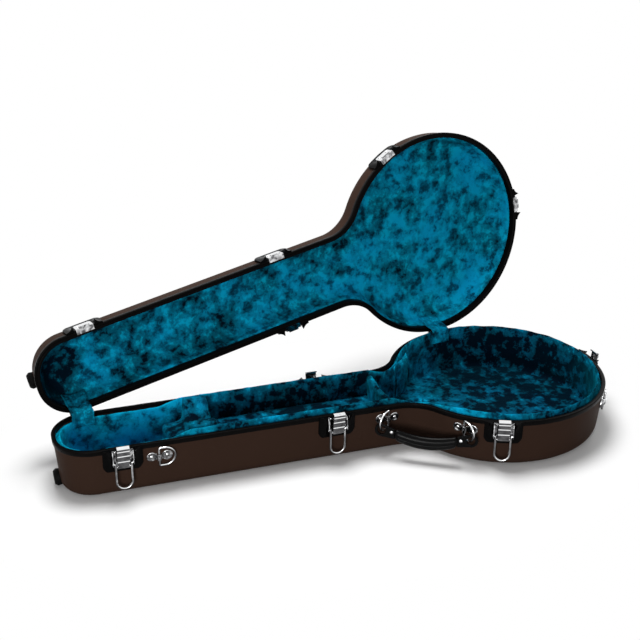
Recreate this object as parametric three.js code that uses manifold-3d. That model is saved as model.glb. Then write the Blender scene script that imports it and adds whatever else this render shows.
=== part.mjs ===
// Banjo case, standing open: a moulded base and lid in the outline of the instrument, joined along the
// back by two hinges, closed by five drawbolt latches, and carried by a leather handle or a strap.
// Millimetres, +Z up. The neck end points to -X, the handle side to -Y. The origin is under the centre
// of the round pot, on the plane that the flat bottom stands on.
import * as THREE from 'three';
import { mergeVertices } from 'three/addons/utils/BufferGeometryUtils.js';
import Module from 'manifold-3d';

const wasm = await Module();
wasm.setup();

// Case outline, measured over the rim trim
const caseLength = 1080;
const potRadius = 213;
const neckHalfWidthAtPot = 77.2;
const neckHalfWidthAtEnd = 75.1;
const endCornerRadius = 69.3;
const waistRadius = 71.2;

// Depths, walls and clearances
const baseDepth = 98;
const lidDepth = 58;
const wallSlope = 0.075;
const shellWall = 4;
const baseEdgeRadius = 18;
const lidEdgeRadius = 26;
const clearance = 0.3;
const lidOpening = THREE.MathUtils.degToRad(94.3);
const cutOverrun = 20;

// How finely the round stretches are cut
const potSteps = 13;
const waistSteps = 4;
const cornerSteps = 5;
const edgeSteps = 3;
const wireSides = 6;
const roundSides = 12;
const rivetSides = 8;

// Materials
function finish(color, roughness, metalness) {
  return new THREE.MeshStandardMaterial({ color, roughness, metalness });
}
const brownShell = finish(0x3a2a23, 0.45, 0);
const blackTrim = finish(0x0c0b0b, 0.35, 0);
const blackGuard = finish(0x101010, 0.3, 0);
const blueVelvet = finish(0x00506e, 0.9, 0);
const chromePlate = finish(0xd6d8da, 0.12, 1);
const blackLeather = finish(0x0b0b0b, 0.4, 0);
const blackRubber = finish(0x080808, 0.7, 0);

// Solids: three.js geometry in and out of the library that joins and cuts
function solidOf(geometry) {
  const bare = geometry.clone();
  bare.deleteAttribute('normal');
  bare.deleteAttribute('uv');
  const merged = mergeVertices(bare, 1e-4);
  return new wasm.Manifold(new wasm.Mesh({
    numProp: 3,
    vertProperties: new Float32Array(merged.attributes.position.array),
    triVerts: new Uint32Array(merged.index.array),
  }));
}

function geometryOf(solid) {
  const mesh = solid.getMesh();
  const geometry = new THREE.BufferGeometry();
  const positions = new Float32Array(mesh.vertProperties);
  geometry.setAttribute('position', new THREE.BufferAttribute(positions, 3));
  geometry.setIndex(new THREE.BufferAttribute(new Uint32Array(mesh.triVerts), 1));
  geometry.computeVertexNormals();
  return geometry;
}

function union(parts) {
  return parts.map(solidOf).reduce((whole, part) => whole.add(part));
}

function addMesh(group, name, geometry, material) {
  const mesh = new THREE.Mesh(geometry, material);
  mesh.name = name;
  group.add(mesh);
  return mesh;
}

// A skin over a row of loops of 3-D points. flat gives each loop's points in its own plane, for the caps.
function skin(loops, flat, closed = false) {
  const count = loops[0].length;
  const points = loops.flat();
  const faces = [];
  const last = closed ? loops.length : loops.length - 1;
  for (let row = 0; row < last; row += 1) {
    const here = row * count;
    const there = ((row + 1) % loops.length) * count;
    for (let i = 0; i < count; i += 1) {
      const next = (i + 1) % count;
      faces.push([here + i, here + next, there + next], [here + i, there + next, there + i]);
    }
  }
  const cap = (loop, offset, forward) => {
    const outline = loop.map(flat);
    const cover = THREE.ShapeUtils.triangulateShape(outline, []);
    const covered = cover.reduce((sum, face) => sum + THREE.ShapeUtils.area(face.map((i) => outline[i])), 0);
    const follows = Math.sign(covered) === Math.sign(THREE.ShapeUtils.area(outline));
    for (const [a, b, c] of cover) {
      faces.push((follows === forward ? [a, b, c] : [a, c, b]).map((i) => i + offset));
    }
  };
  if (!closed) {
    cap(loops[0], 0, false);
    cap(loops[loops.length - 1], (loops.length - 1) * count, true);
  }
  let volume = 0;
  for (const [a, b, c] of faces) {
    volume += points[a].dot(new THREE.Vector3().crossVectors(points[b], points[c]));
  }
  const ordered = volume < 0 ? faces.map(([a, b, c]) => [a, c, b]) : faces;
  const geometry = new THREE.BufferGeometry().setFromPoints(points);
  geometry.setIndex(ordered.flat());
  geometry.computeVertexNormals();
  return geometry;
}

// A round wire through points that lie in one plane, whose normal is the binormal
function wire(points, radius, binormal, closed = false, sides = wireSides) {
  const loops = points.map((point, i) => {
    const before = points[closed ? (i + points.length - 1) % points.length : Math.max(i - 1, 0)];
    const after = points[closed ? (i + 1) % points.length : Math.min(i + 1, points.length - 1)];
    const along = new THREE.Vector3().subVectors(after, before).normalize();
    const across = new THREE.Vector3().crossVectors(binormal, along);
    return Array.from({ length: sides }, (_, k) => {
      const turn = (2 * Math.PI * (k + 0.5)) / sides;
      return point.clone()
        .addScaledVector(across, radius * Math.cos(turn))
        .addScaledVector(binormal, radius * Math.sin(turn));
    });
  });
  const section = new Map();
  loops.forEach((loop) => loop.forEach((p, k) => {
    const turn = (2 * Math.PI * (k + 0.5)) / sides;
    section.set(p, new THREE.Vector2(Math.cos(turn), Math.sin(turn)));
  }));
  return skin(loops, (p) => section.get(p), closed);
}

// A profile drawn in (up, out) and pulled sideways, centred on the middle
function sidewaysPull(profile, width) {
  const shape = profile instanceof THREE.Shape
    ? profile
    : new THREE.Shape(profile.map(([up, out]) => new THREE.Vector2(up, out)));
  const geometry = new THREE.ExtrudeGeometry(shape, {
    depth: width, bevelEnabled: false, curveSegments: roundSides,
  });
  geometry.translate(0, 0, -width / 2);
  const turn = new THREE.Matrix4().makeBasis(
    new THREE.Vector3(0, 1, 0), new THREE.Vector3(0, 0, 1), new THREE.Vector3(1, 0, 0),
  );
  return geometry.applyMatrix4(turn);
}

// A plate drawn in (side, up) and raised outwards from one face to the other
function raisedPlate(shape, from, to) {
  const geometry = new THREE.ExtrudeGeometry(shape, {
    depth: to - from, bevelEnabled: false, curveSegments: roundSides / 2,
  });
  return geometry.translate(0, 0, from);
}

function boxBetween(low, high) {
  const size = new THREE.Vector3().subVectors(high, low);
  const centre = new THREE.Vector3().addVectors(low, high).multiplyScalar(0.5);
  return new THREE.BoxGeometry(size.x, size.y, size.z).translate(centre.x, centre.y, centre.z);
}

// The case outline as stations: a point on the outer rim edge and the direction inwards from it
const neckTipX = potRadius - caseLength;
const cornerCentre = new THREE.Vector2(neckTipX + endCornerRadius, neckHalfWidthAtEnd - endCornerRadius);
const neckSide = new THREE.Vector2(
  -potRadius - cornerCentre.x, neckHalfWidthAtPot - neckHalfWidthAtEnd,
).normalize();
const neckNormal = new THREE.Vector2(-neckSide.y, neckSide.x);
const waistCentre = (() => {
  // the waist arc touches the neck side and the pot, so its centre is one radius from each
  const start = new THREE.Vector2(cornerCentre.x, neckHalfWidthAtEnd)
    .addScaledVector(neckNormal, waistRadius);
  const along = start.dot(neckSide);
  const reach = potRadius + waistRadius;
  const step = -along - Math.sqrt(along * along - start.lengthSq() + reach * reach);
  return start.addScaledVector(neckSide, step);
})();
const waistAtNeck = waistCentre.clone().addScaledVector(neckNormal, -waistRadius);
const waistAngle = Math.atan2(waistCentre.y, waistCentre.x);
const neckStationShares = [0.14, 0.4, 0.64, 0.72, 0.78, 0.9];

function arcStations(centre, radius, from, to, steps, hollow = false) {
  return Array.from({ length: steps + 1 }, (_, i) => {
    const angle = from + ((to - from) * i) / steps;
    const out = new THREE.Vector2(Math.cos(angle), Math.sin(angle));
    const point = centre.clone().addScaledVector(out, radius);
    return { x: point.x, y: point.y, inX: hollow ? out.x : -out.x, inY: hollow ? out.y : -out.y };
  });
}

const potStations = arcStations(new THREE.Vector2(), potRadius, 0, waistAngle, potSteps);
const neckAngle = Math.atan2(-neckNormal.y, -neckNormal.x);
const waistStations = arcStations(
  waistCentre, waistRadius, waistAngle - Math.PI, neckAngle, waistSteps, true,
).slice(1);
const neckStraight = waistAtNeck.x - cornerCentre.x;
const neckStations = neckStationShares.map((share) => ({
  x: waistAtNeck.x - neckSide.x * neckStraight * share,
  y: waistAtNeck.y - neckSide.y * neckStraight * share,
  inX: -neckNormal.x,
  inY: -neckNormal.y,
}));
const cornerStations = arcStations(cornerCentre, endCornerRadius, Math.PI / 2, Math.PI, cornerSteps);
const backStations = [...potStations, ...waistStations, ...neckStations, ...cornerStations];
const frontStations = backStations.slice(1).reverse()
  .map(({ x, y, inX, inY }) => ({ x, y: -y, inX, inY: -inY }));
const stations = [...backStations, ...frontStations];

function ring(inset, z) {
  return stations.map((station) => {
    const inwards = typeof inset === 'function' ? inset(station) : inset;
    const height = typeof z === 'function' ? z(station) : z;
    return new THREE.Vector3(station.x + station.inX * inwards, station.y + station.inY * inwards, height);
  });
}

const fromAbove = (p) => new THREE.Vector2(p.x, p.y);

// Rim trims: black channels pushed over the wall edges of the base and the lid
const trimLeg = 1.6;
const trimLegDepth = 9;
const trimWeb = 2.9;
const trimEdge = 1.2;
const slotInner = trimLeg + clearance + shellWall + clearance;
const baseTrimWidth = 7.4;
const baseTrimInnerDepth = 6;
const lidTrimWidth = 10;
const lidTrimInnerDepth = 12;
const rimZ = baseDepth;
const lidRimZ = rimZ + clearance;
const shellInset = trimLeg + clearance;

function trim(width, innerDepth, toZ) {
  const section = [
    [wallSlope * trimLegDepth, trimLegDepth],
    [0, trimEdge],
    [trimEdge, 0],
    [width, 0],
    [width + wallSlope * innerDepth, innerDepth],
    [slotInner + wallSlope * innerDepth, innerDepth],
    [slotInner + wallSlope * trimWeb, trimWeb],
    [trimLeg, trimWeb],
    [trimLeg + wallSlope * trimLegDepth, trimLegDepth],
  ];
  return skin(section.map(([inset, depth]) => ring(inset, toZ(depth))), fromAbove, true);
}
const baseTrimRing = trim(baseTrimWidth, baseTrimInnerDepth, (depth) => rimZ - depth);
const lidTrimRing = trim(lidTrimWidth, lidTrimInnerDepth, (depth) => lidRimZ + depth);

// Shells: tapering walls, a rounded edge and a flat bottom or crown, as one moulding of even wall
function wallInset(depth) {
  return shellInset + wallSlope * depth;
}

function edgeArc(depth, radius, wall) {
  const start = depth - radius;
  const bend = radius - wall;
  return Array.from({ length: edgeSteps + 1 }, (_, i) => {
    const angle = (Math.PI / 2) * (i / edgeSteps);
    return [wallInset(start) + radius - bend * Math.cos(angle), start + bend * Math.sin(angle)];
  });
}

function shellProfile(depth, radius) {
  const wallTop = trimWeb + clearance;
  return [
    ...edgeArc(depth, radius, 0).reverse(),
    [wallInset(wallTop), wallTop],
    [wallInset(wallTop) + shellWall, wallTop],
    ...edgeArc(depth, radius, shellWall),
  ];
}
const baseShell = skin(
  shellProfile(baseDepth, baseEdgeRadius).map(([inset, depth]) => ring(inset, rimZ - depth)), fromAbove,
);
const lidShell = skin(
  shellProfile(lidDepth, lidEdgeRadius).map(([inset, depth]) => ring(inset, lidRimZ + depth)), fromAbove,
);

// Base lining: padded walls and floor. Its rolled crest stands above the rim beside the pocket and round
// the pot, where it reaches up inside the lid, and drops below the rim at the peghead and the throat.
const floorPad = 10;
const wallPadInset = 17;
const padBulge = 1.2;
const padFoot = 7;
const crestRise = 9;
const crestDrop = -4;
const crestOuterInset = 12.2;
const crestTopInset = 14.5;
const crestNeckDepth = 7.2;
const crestRound = 2.6;
const pegheadSpace = 199;
const wingLength = 39;
const neckRestLength = 52;
const bulkheadSetBack = 7.6;
const bulkheadThickness = 14;
const throatReach = 27;
const potMouthReach = 92;
const pegheadWallX = neckTipX + pegheadSpace;
const neckRestBackX = pegheadWallX + wingLength;
const neckRestFrontX = neckRestBackX + neckRestLength;
const bulkheadX = waistAtNeck.x - bulkheadSetBack;
const throatX = waistAtNeck.x + throatReach;
const potMouthX = waistAtNeck.x + potMouthReach;
const floorZ = shellWall + clearance + floorPad;

function crestHeight({ x }) {
  const places = [
    [neckTipX, crestDrop], [pegheadWallX, crestDrop], [neckRestBackX, crestRise],
    [bulkheadX, crestRise], [throatX, crestDrop], [potMouthX, crestRise], [potRadius, crestRise],
  ];
  const i = places.findIndex(([place]) => x <= place + clearance);
  if (i <= 0) return rimZ + places[0][1];
  const [[x0, h0], [x1, h1]] = [places[i - 1], places[i]];
  return rimZ + h0 + ((h1 - h0) * (x - x0)) / (x1 - x0);
}
const liningInset = (depth) => wallInset(depth) + shellWall + clearance;
const baseBend = baseEdgeRadius - shellWall;
const baseStraight = baseDepth - baseEdgeRadius;
const padFootZ = floorZ + padFoot;
const rimShoulder = baseTrimInnerDepth + clearance;
const baseLiningRings = [
  ring(liningInset(baseStraight) + baseBend, shellWall + clearance),
  ring(liningInset(baseStraight), rimZ - baseStraight),
  ring(liningInset(rimShoulder), rimZ - rimShoulder - crestRound),
  ring(
    baseTrimWidth + wallSlope * rimShoulder + clearance,
    (s) => Math.min(crestHeight(s) - 2 * crestRound, rimZ - crestNeckDepth),
  ),
  ring(crestOuterInset, (s) => crestHeight(s) - crestRound),
  ring(crestTopInset, crestHeight),
  ring(wallPadInset, (s) => crestHeight(s) - crestRound),
  ring(wallPadInset + padBulge, (rimZ + floorZ) / 2),
  ring(wallPadInset + padBulge, padFootZ),
  ring(wallPadInset + padBulge + padFoot, floorZ),
];
const baseLining = skin(baseLiningRings, fromAbove);

// Lid lining: the same padding, with its rolled edge above the black inner leg of the lid trim
const lidPad = 8;
const lidLiningInset = 15;
const lidEdgeDepth = lidTrimInnerDepth + clearance;
const lidRoll = 2.4;
const lidBend = lidEdgeRadius - shellWall;
const lidStraight = lidDepth - lidEdgeRadius;
const lidCeiling = lidDepth - shellWall - clearance;
const lidLiningRings = [
  ring(lidLiningInset + lidBend, lidRimZ + lidCeiling - lidPad),
  ring(lidLiningInset + lidBend / 4, lidRimZ + lidStraight + lidPad / 2),
  ring(lidLiningInset, lidRimZ + lidEdgeDepth + 2 * lidRoll),
  ring(lidLiningInset - lidRoll, lidRimZ + lidEdgeDepth + lidRoll / 2),
  ring(lidLiningInset - 2 * lidRoll, lidRimZ + lidEdgeDepth),
  ring(liningInset(lidEdgeDepth), lidRimZ + lidEdgeDepth),
  ring(liningInset(lidStraight), lidRimZ + lidStraight),
  ring(liningInset(lidStraight) + lidBend, lidRimZ + lidCeiling),
];
const lidLining = skin(lidLiningRings, fromAbove);

// Padded blocks inside the base, each cut to the space inside the lining
const seat = 0.4;
const cavity = solidOf(skin([
  ring(wallPadInset + padBulge + padFoot + seat, floorZ + seat),
  ring(wallPadInset + padBulge + seat, padFootZ + seat),
  ring(wallPadInset + padBulge + seat, (rimZ + floorZ) / 2),
  ring(wallPadInset + seat, rimZ - crestRise),
  ring(wallPadInset + seat, rimZ + lidDepth),
], fromAbove));

// A block drawn in (x, z), pulled along Y between two places, and trimmed to the cavity
function block(outline, fromY, toY) {
  const shape = new THREE.Shape(outline.map(([x, z]) => new THREE.Vector2(x, z)));
  const geometry = new THREE.ExtrudeGeometry(shape, { depth: toY - fromY, bevelEnabled: false });
  const turn = new THREE.Matrix4().makeBasis(
    new THREE.Vector3(1, 0, 0), new THREE.Vector3(0, 0, 1), new THREE.Vector3(0, -1, 0),
  );
  geometry.applyMatrix4(turn).translate(0, toY, 0);
  return solidOf(geometry).intersect(cavity);
}

const pocketFloorDrop = 42;
const pocketBoard = 6;
const ledge = 8;
const neckRestRise = 12;
const neckRestRound = 6;
const saddleRadius = 34;
const saddleDip = 13;
const wingTopZ = rimZ - 20;
const wingBackY = 30;
const pocketTopZ = rimZ - pocketFloorDrop;
const ledgeZ = pocketTopZ - pocketBoard - clearance;
const restTopZ = rimZ + neckRestRise;
const neckRestBody = block([
  [neckRestBackX, 0],
  [neckRestFrontX + ledge, 0],
  [neckRestFrontX + ledge, ledgeZ],
  [neckRestFrontX, ledgeZ],
  [neckRestFrontX, restTopZ - neckRestRound],
  [neckRestFrontX - neckRestRound, restTopZ],
  [neckRestBackX + neckRestRound, restTopZ],
  [neckRestBackX, restTopZ - neckRestRound],
], -potRadius, potRadius);
const saddle = new THREE.CylinderGeometry(saddleRadius, saddleRadius, caseLength, 2 * roundSides)
  .rotateZ(Math.PI / 2).translate(neckRestBackX, 0, rimZ - saddleDip + saddleRadius);
const wing = block([
  [pegheadWallX, 0],
  [neckRestBackX + seat, 0],
  [neckRestBackX + seat, wingTopZ],
  [pegheadWallX + neckRestRound, wingTopZ],
  [pegheadWallX, wingTopZ - neckRestRound],
], -potRadius, wingBackY);
const neckRest = neckRestBody.subtract(solidOf(saddle)).add(wing);

const bulkheadTopZ = rimZ + 4;
const bulkheadFront = bulkheadX - bulkheadThickness / 2;
const bulkheadBack = bulkheadX + bulkheadThickness / 2;
const bulkheadRound = bulkheadThickness / 3;
const bulkhead = block([
  [bulkheadFront - ledge, 0],
  [bulkheadBack, 0],
  [bulkheadBack, bulkheadTopZ - bulkheadRound],
  [bulkheadBack - bulkheadRound, bulkheadTopZ],
  [bulkheadFront + bulkheadRound, bulkheadTopZ],
  [bulkheadFront, bulkheadTopZ - bulkheadRound],
  [bulkheadFront, ledgeZ],
  [bulkheadFront - ledge, ledgeZ],
], -potRadius, potRadius);

// The pocket lid swings up about its back top edge
const pocketEndGap = 1;
const pocketHalfWidth = 57.2;
const pocketLidBoard = boxBetween(
  new THREE.Vector3(neckRestFrontX + pocketEndGap, -2 * pocketHalfWidth, -pocketBoard),
  new THREE.Vector3(bulkheadFront - pocketEndGap, 0, 0),
);
const pocketPivot = new THREE.Vector3(0, pocketHalfWidth, pocketTopZ);

// Waist bolsters close the pot's mouth down to the width of the heel
const bolsterRise = 5;
const bolsterInset = 36;
const bolsterFoot = 15;
const bolsterOverlap = 24;
function bolster(side) {
  // [distance inside the pot's rim, degrees past the place where the pot meets the waist]
  const outline = [
    [bolsterFoot, -17], [bolsterInset, -4], [bolsterFoot / 4, 12.5], [-bolsterOverlap, 9], [-bolsterOverlap, -8],
  ].map(([inset, degrees]) => {
    const angle = waistAngle + THREE.MathUtils.degToRad(degrees);
    const radius = potRadius - inset;
    return new THREE.Vector2(radius * Math.cos(angle), side * radius * Math.sin(angle));
  });
  const post = new THREE.ExtrudeGeometry(new THREE.Shape(outline), {
    depth: rimZ + bolsterRise, bevelEnabled: false,
  });
  return geometryOf(solidOf(post).intersect(cavity));
}

// Places on the outer wall. Local axes there: X sideways, Y up the slope, Z straight out of the wall.
const slopeAngle = Math.atan(wallSlope);
function neckSpot(x, side) {
  const along = (x - waistAtNeck.x) / neckSide.x;
  return {
    x,
    y: side * (waistAtNeck.y + neckSide.y * along),
    out: new THREE.Vector3(neckNormal.x, side * neckNormal.y, 0),
    bend: Infinity,
  };
}

function potSpot(degrees) {
  const angle = THREE.MathUtils.degToRad(degrees);
  const out = new THREE.Vector3(Math.cos(angle), Math.sin(angle), 0);
  return { x: potRadius * out.x, y: potRadius * out.y, out, bend: potRadius };
}

function wallGroup(spot, z, slope) {
  const up = new THREE.Vector3(0, 0, 1);
  const side = new THREE.Vector3().crossVectors(up, spot.out);
  const out = spot.out.clone().multiplyScalar(Math.cos(slope)).addScaledVector(up, Math.sin(slope));
  const rise = new THREE.Vector3().crossVectors(out, side);
  const group = new THREE.Group();
  group.applyMatrix4(new THREE.Matrix4().makeBasis(side, rise, out));
  group.position.set(spot.x, spot.y, z);
  return group;
}
const baseWall = (spot) => wallGroup(spot, rimZ, -slopeAngle);
const lidWall = (spot) => wallGroup(spot, lidRimZ, slopeAngle);

// Latch guards: black plates on the wall and over the trim. Their two ears stand up beside the chrome
// and are highest at the rim, where the base guard and the lid guard meet when the case is shut.
const guardSeat = clearance;
const guardWallSeat = -shellInset + clearance;
const guardThickness = 2.6;
const guardHalfWidth = 34.5;
const seatHalfWidth = 19.4;
const earPeak = 20.8;
const earHeight = 12.5;
const earRim = 3.2;
const baseGuardHeight = 46;
const lidGuardHeight = 38;
const guardRimGap = 0.2;
const keeperFlange = 1.2;
const guardStationShares = [
  // place across the half width, thickness at the rim, thickness at mid height, height of the plate
  [1, 0, 0, 0.78], [0.86, 0.13, 0.06, 0.94], [0.74, 0.34, 0.14, 1], [0.66, 0.62, 0.26, 1],
];

function guard(spot, height, up, seatGap) {
  const half = [
    ...guardStationShares.map(([place, rim, mid, tall]) => ({
      side: guardHalfWidth * place,
      rimOut: earRim + (earHeight - earRim) * rim,
      midOut: earRim + (earHeight - earRim) * mid,
      tall: height * tall,
      gap: guardRimGap,
    })),
    { side: earPeak, rimOut: earHeight, midOut: earHeight / 2, tall: height, gap: guardRimGap },
    { side: seatHalfWidth, rimOut: guardThickness, midOut: guardThickness, tall: height, gap: seatGap },
  ];
  const across = [
    ...half.map((s) => ({ ...s, side: -s.side })),
    { ...half[half.length - 1], side: 0 },
    ...[...half].reverse(),
  ];
  const step = trimLegDepth + 2 * clearance;
  const flats = new Map();
  const loops = across.map(({ side, rimOut, midOut, tall, gap }) => [
    [gap, guardSeat], [gap, rimOut], [height / 3, midOut], [tall - guardThickness / 2, guardThickness],
    [tall, guardThickness / 2], [tall, guardWallSeat], [step, guardWallSeat], [step, guardSeat],
  ].map(([depth, out]) => {
    const turn = spot.bend === Infinity ? 0 : side / spot.bend;
    const reach = spot.bend === Infinity ? 0 : spot.bend * (Math.cos(turn) - 1);
    const shift = spot.bend === Infinity ? side : spot.bend * Math.sin(turn);
    const point = new THREE.Vector3(
      shift + out * Math.sin(turn), up * depth, reach + out * Math.cos(turn),
    );
    flats.set(point, new THREE.Vector2(depth, out));
    return point;
  }));
  return skin(loops, (p) => flats.get(p));
}

// Latch plate: chrome, with a rounded foot and two ears that carry the bail
const plateBack = guardSeat + guardThickness;
const plateThickness = 1.2;
const plateFace = plateBack + plateThickness;
const plateHalfWidth = 18.2;
const plateTop = -1.5;
const plateShoulder = -31;
const plateFoot = -38;
const plateFootHalf = 9;
const bailPivotUp = -27;
const bailPivotOut = 8.2;
const bailWire = 2.1;
const bailBore = 2.5;
const earSheet = 1.2;
const earTop = -4;
const earBottom = -34;
const earOut = 12;

function latchPlate() {
  const face = new THREE.Shape([
    [-plateHalfWidth, plateTop], [-plateHalfWidth, plateShoulder],
    [-plateFootHalf, plateFoot], [plateFootHalf, plateFoot],
    [plateHalfWidth, plateShoulder], [plateHalfWidth, plateTop],
  ].map(([x, y]) => new THREE.Vector2(x, y)));
  const ear = new THREE.Shape([
    [earTop, plateBack], [earTop, plateFace + plateThickness], [earTop - plateThickness * 4, bailPivotOut],
    [bailPivotUp + 2 * bailWire, earOut], [bailPivotUp - bailWire, earOut],
    [earBottom + plateThickness, bailPivotOut], [earBottom, plateBack],
  ].map(([up, out]) => new THREE.Vector2(up, out)));
  const hole = new THREE.Path().absarc(bailPivotUp, bailPivotOut, bailBore, 0, 2 * Math.PI);
  ear.holes.push(hole);
  const ears = [-1, 1].map((side) => sidewaysPull(ear, earSheet)
    .translate(side * (plateHalfWidth - earSheet / 2), 0, 0));
  return geometryOf(union([raisedPlate(face, plateBack, plateFace), ...ears]));
}

// Bail: a U of round wire that turns in the plate's ears, with a cross pin that lifts the claw
const bailHalf = 13.8;
const bailReach = 50;
const crankArm = 6;
const crankPin = 1.6;
const bailBendSteps = 6;

function bail() {
  const end = plateHalfWidth + earSheet / 2;
  const bendCentre = -(bailReach - bailHalf);
  const bend = Array.from({ length: bailBendSteps + 1 }, (_, i) => {
    const angle = Math.PI + (Math.PI * i) / bailBendSteps;
    return [bailHalf * Math.cos(angle), bendCentre + bailHalf * Math.sin(angle)];
  });
  const corner = bailWire / 2;
  const points = [
    [-end, 0], [-bailHalf - corner, 0], [-bailHalf, -corner], ...bend,
    [bailHalf, -corner], [bailHalf + corner, 0], [end, 0],
  ].map(([x, y]) => new THREE.Vector3(x, y, 0));
  const loop = wire(points, bailWire, new THREE.Vector3(0, 0, 1));
  const pin = new THREE.CylinderGeometry(crankPin, crankPin, 2 * bailHalf, wireSides + 2)
    .rotateZ(Math.PI / 2).translate(0, -crankArm, 0);
  return geometryOf(union([loop, pin]));
}

// Claw: formed sheet, curled round the cross pin below, ribbed, and hooked over at the top. It leans out
// from the rim, so the lid shuts past it, and hooks over the keeper's lip when pressed upright.
const clawHalf = 10.7;
const clawSheet = 1.8;
const clawCurl = 3.6;
const clawBore = 1.95;
const clawArmOut = 1.7;
const clawTopUp = 9.5;
const clawTilt = THREE.MathUtils.degToRad(6);
const clawHookDrop = 2.6;
const clawTipOut = 5;
const clawRib = 1.1;
const clawRibShares = [[0.16, 0.34], [0.44, 0.62], [0.74, 0.86]];

function claw() {
  // drawn from the cross pin's axis, whose place in the wall's frame is known
  const top = clawTopUp - bailPivotUp + crankArm;
  const back = clawArmOut;
  const face = clawArmOut + clawSheet;
  const tip = clawTipOut - bailPivotOut;
  const ribs = clawRibShares.flatMap(([low, high]) => [
    [top * low, face], [top * low + clawRib, face + clawRib],
    [top * high - clawRib, face + clawRib], [top * high, face],
  ]);
  const arm = [
    [0, back], [0, face], ...ribs, [top - clawSheet, face], [top, back],
    [top, tip], [top - clawHookDrop, tip], [top - clawHookDrop, back],
  ];
  const curl = new THREE.CylinderGeometry(clawCurl, clawCurl, 2 * clawHalf, roundSides)
    .rotateZ(Math.PI / 2);
  const bore = new THREE.CylinderGeometry(clawBore, clawBore, 2 * clawHalf + cutOverrun, roundSides)
    .rotateZ(Math.PI / 2);
  return geometryOf(union([sidewaysPull(arm, 2 * clawHalf), curl]).subtract(solidOf(bore)));
}

// Keeper on the lid: a plate with an upturned catch, and a flange folded under the rim
const keeperHalf = 16.2;
const keeperTop = 24;
const catchHalf = 10;
const catchLow = guardRimGap;
const catchHigh = 6.4;
const catchOut = 7.5;
const catchSheet = 1.6;
const flangeIn = -6;

function keeper() {
  const plate = new THREE.Shape([
    [-keeperHalf, guardRimGap], [keeperHalf, guardRimGap], [keeperHalf, keeperTop - catchSheet * 2],
    [keeperHalf - catchSheet * 2, keeperTop], [-keeperHalf + catchSheet * 2, keeperTop],
    [-keeperHalf, keeperTop - catchSheet * 2],
  ].map(([x, y]) => new THREE.Vector2(x, y)));
  const hook = [
    [catchLow, plateBack], [catchLow, catchOut], [catchHigh, catchOut],
    [catchHigh, catchOut - catchSheet + clearance], [catchLow + catchSheet, catchOut - catchSheet + clearance],
    [catchLow + catchSheet, plateBack],
  ];
  const flange = boxBetween(
    new THREE.Vector3(-keeperHalf, guardRimGap, flangeIn),
    new THREE.Vector3(keeperHalf, guardRimGap + keeperFlange, plateFace),
  );
  return geometryOf(union([raisedPlate(plate, plateBack, plateFace), sidewaysPull(hook, 2 * catchHalf), flange]));
}

// The notch in the lid trim that the keeper's flange lies in
function keeperNotch(spot) {
  const group = lidWall(spot);
  group.updateMatrix();
  return boxBetween(
    new THREE.Vector3(-keeperHalf - clearance, -cutOverrun, flangeIn - clearance),
    new THREE.Vector3(keeperHalf + clearance, guardRimGap + keeperFlange + clearance, cutOverrun),
  ).applyMatrix4(group.matrix);
}

// Where the latches stand
const pegheadLatchFromTip = 112;
const neckLatchFromWaist = 121.6;
const backLatchFromWaist = 116.6;
const latchSpots = {
  latch_peghead: neckSpot(neckTipX + pegheadLatchFromTip, -1),
  latch_neck: neckSpot(waistAtNeck.x - neckLatchFromWaist, -1),
  latch_pot: potSpot(-113.5),
  latch_tail: potSpot(0),
  latch_back: neckSpot(waistAtNeck.x - backLatchFromWaist, 1),
};

// Hinges: two leaves each, riveted to the outer walls, with the knuckles let into the rim trims
const hingeHalf = 17;
const hingeAxisOut = 0.8;
const knuckle = 2.6;
const knuckleGap = 0.4;
const middleKnuckleHalf = 5.5;
const hingePin = 1.4;
const hingeBore = 1.5;
const leafSheet = 1.6;
const leafLength = 30;
const leafTop = 3.4;
const leafCorner = 5;
const hingeAxisZ = clearance / 2;
const tangent = cornerCentre.clone().negate();
const tangentAngle = Math.atan2(tangent.y, tangent.x)
  + Math.asin((potRadius - endCornerRadius) / tangent.length());
const hingeLine = new THREE.Vector3(Math.cos(tangentAngle), Math.sin(tangentAngle), 0);
const hingeOut = new THREE.Vector3(-hingeLine.y, hingeLine.x, 0);
function hingeSpot(centreX, centreY, radius) {
  return {
    x: centreX + hingeOut.x * radius, y: centreY + hingeOut.y * radius, out: hingeOut, bend: radius,
  };
}
const hingeSpots = {
  hinge_neck: hingeSpot(cornerCentre.x, cornerCentre.y, endCornerRadius),
  hinge_pot: hingeSpot(0, 0, potRadius),
};

function leaf(up, owned) {
  const drop = (depth) => -wallSlope * depth;
  const flatLeaf = sidewaysPull([
    [up * leafTop, -leafSheet + drop(leafTop)], [up * leafTop, drop(leafTop)],
    [up * leafLength, drop(leafLength)], [up * leafLength, -leafSheet + drop(leafLength)],
  ], 2 * hingeHalf);
  const corners = [-1, 1].map((side) => new THREE.CylinderGeometry(leafCorner, leafCorner, cutOverrun, 4)
    .rotateX(Math.PI / 2).translate(side * hingeHalf, up * leafLength, 0));
  const parts = owned.flatMap(([from, to]) => [
    new THREE.CylinderGeometry(knuckle, knuckle, to - from, roundSides)
      .rotateZ(Math.PI / 2).translate((from + to) / 2, hingeAxisZ, hingeAxisOut),
    sidewaysPull([
      [0, -leafSheet], [0, hingeAxisOut], [up * (leafTop + leafSheet), drop(leafTop)],
      [up * (leafTop + leafSheet), -leafSheet + drop(leafTop)],
    ], to - from).translate((from + to) / 2, 0, 0),
  ]);
  let solid = solidOf(flatLeaf);
  corners.forEach((corner) => { solid = solid.subtract(solidOf(corner)); });
  return parts.reduce((whole, part) => whole.add(solidOf(part)), solid);
}

function pinRod(radius, length, sides) {
  return new THREE.CylinderGeometry(radius, radius, length, sides)
    .rotateZ(Math.PI / 2).translate(0, hingeAxisZ, hingeAxisOut);
}

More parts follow.
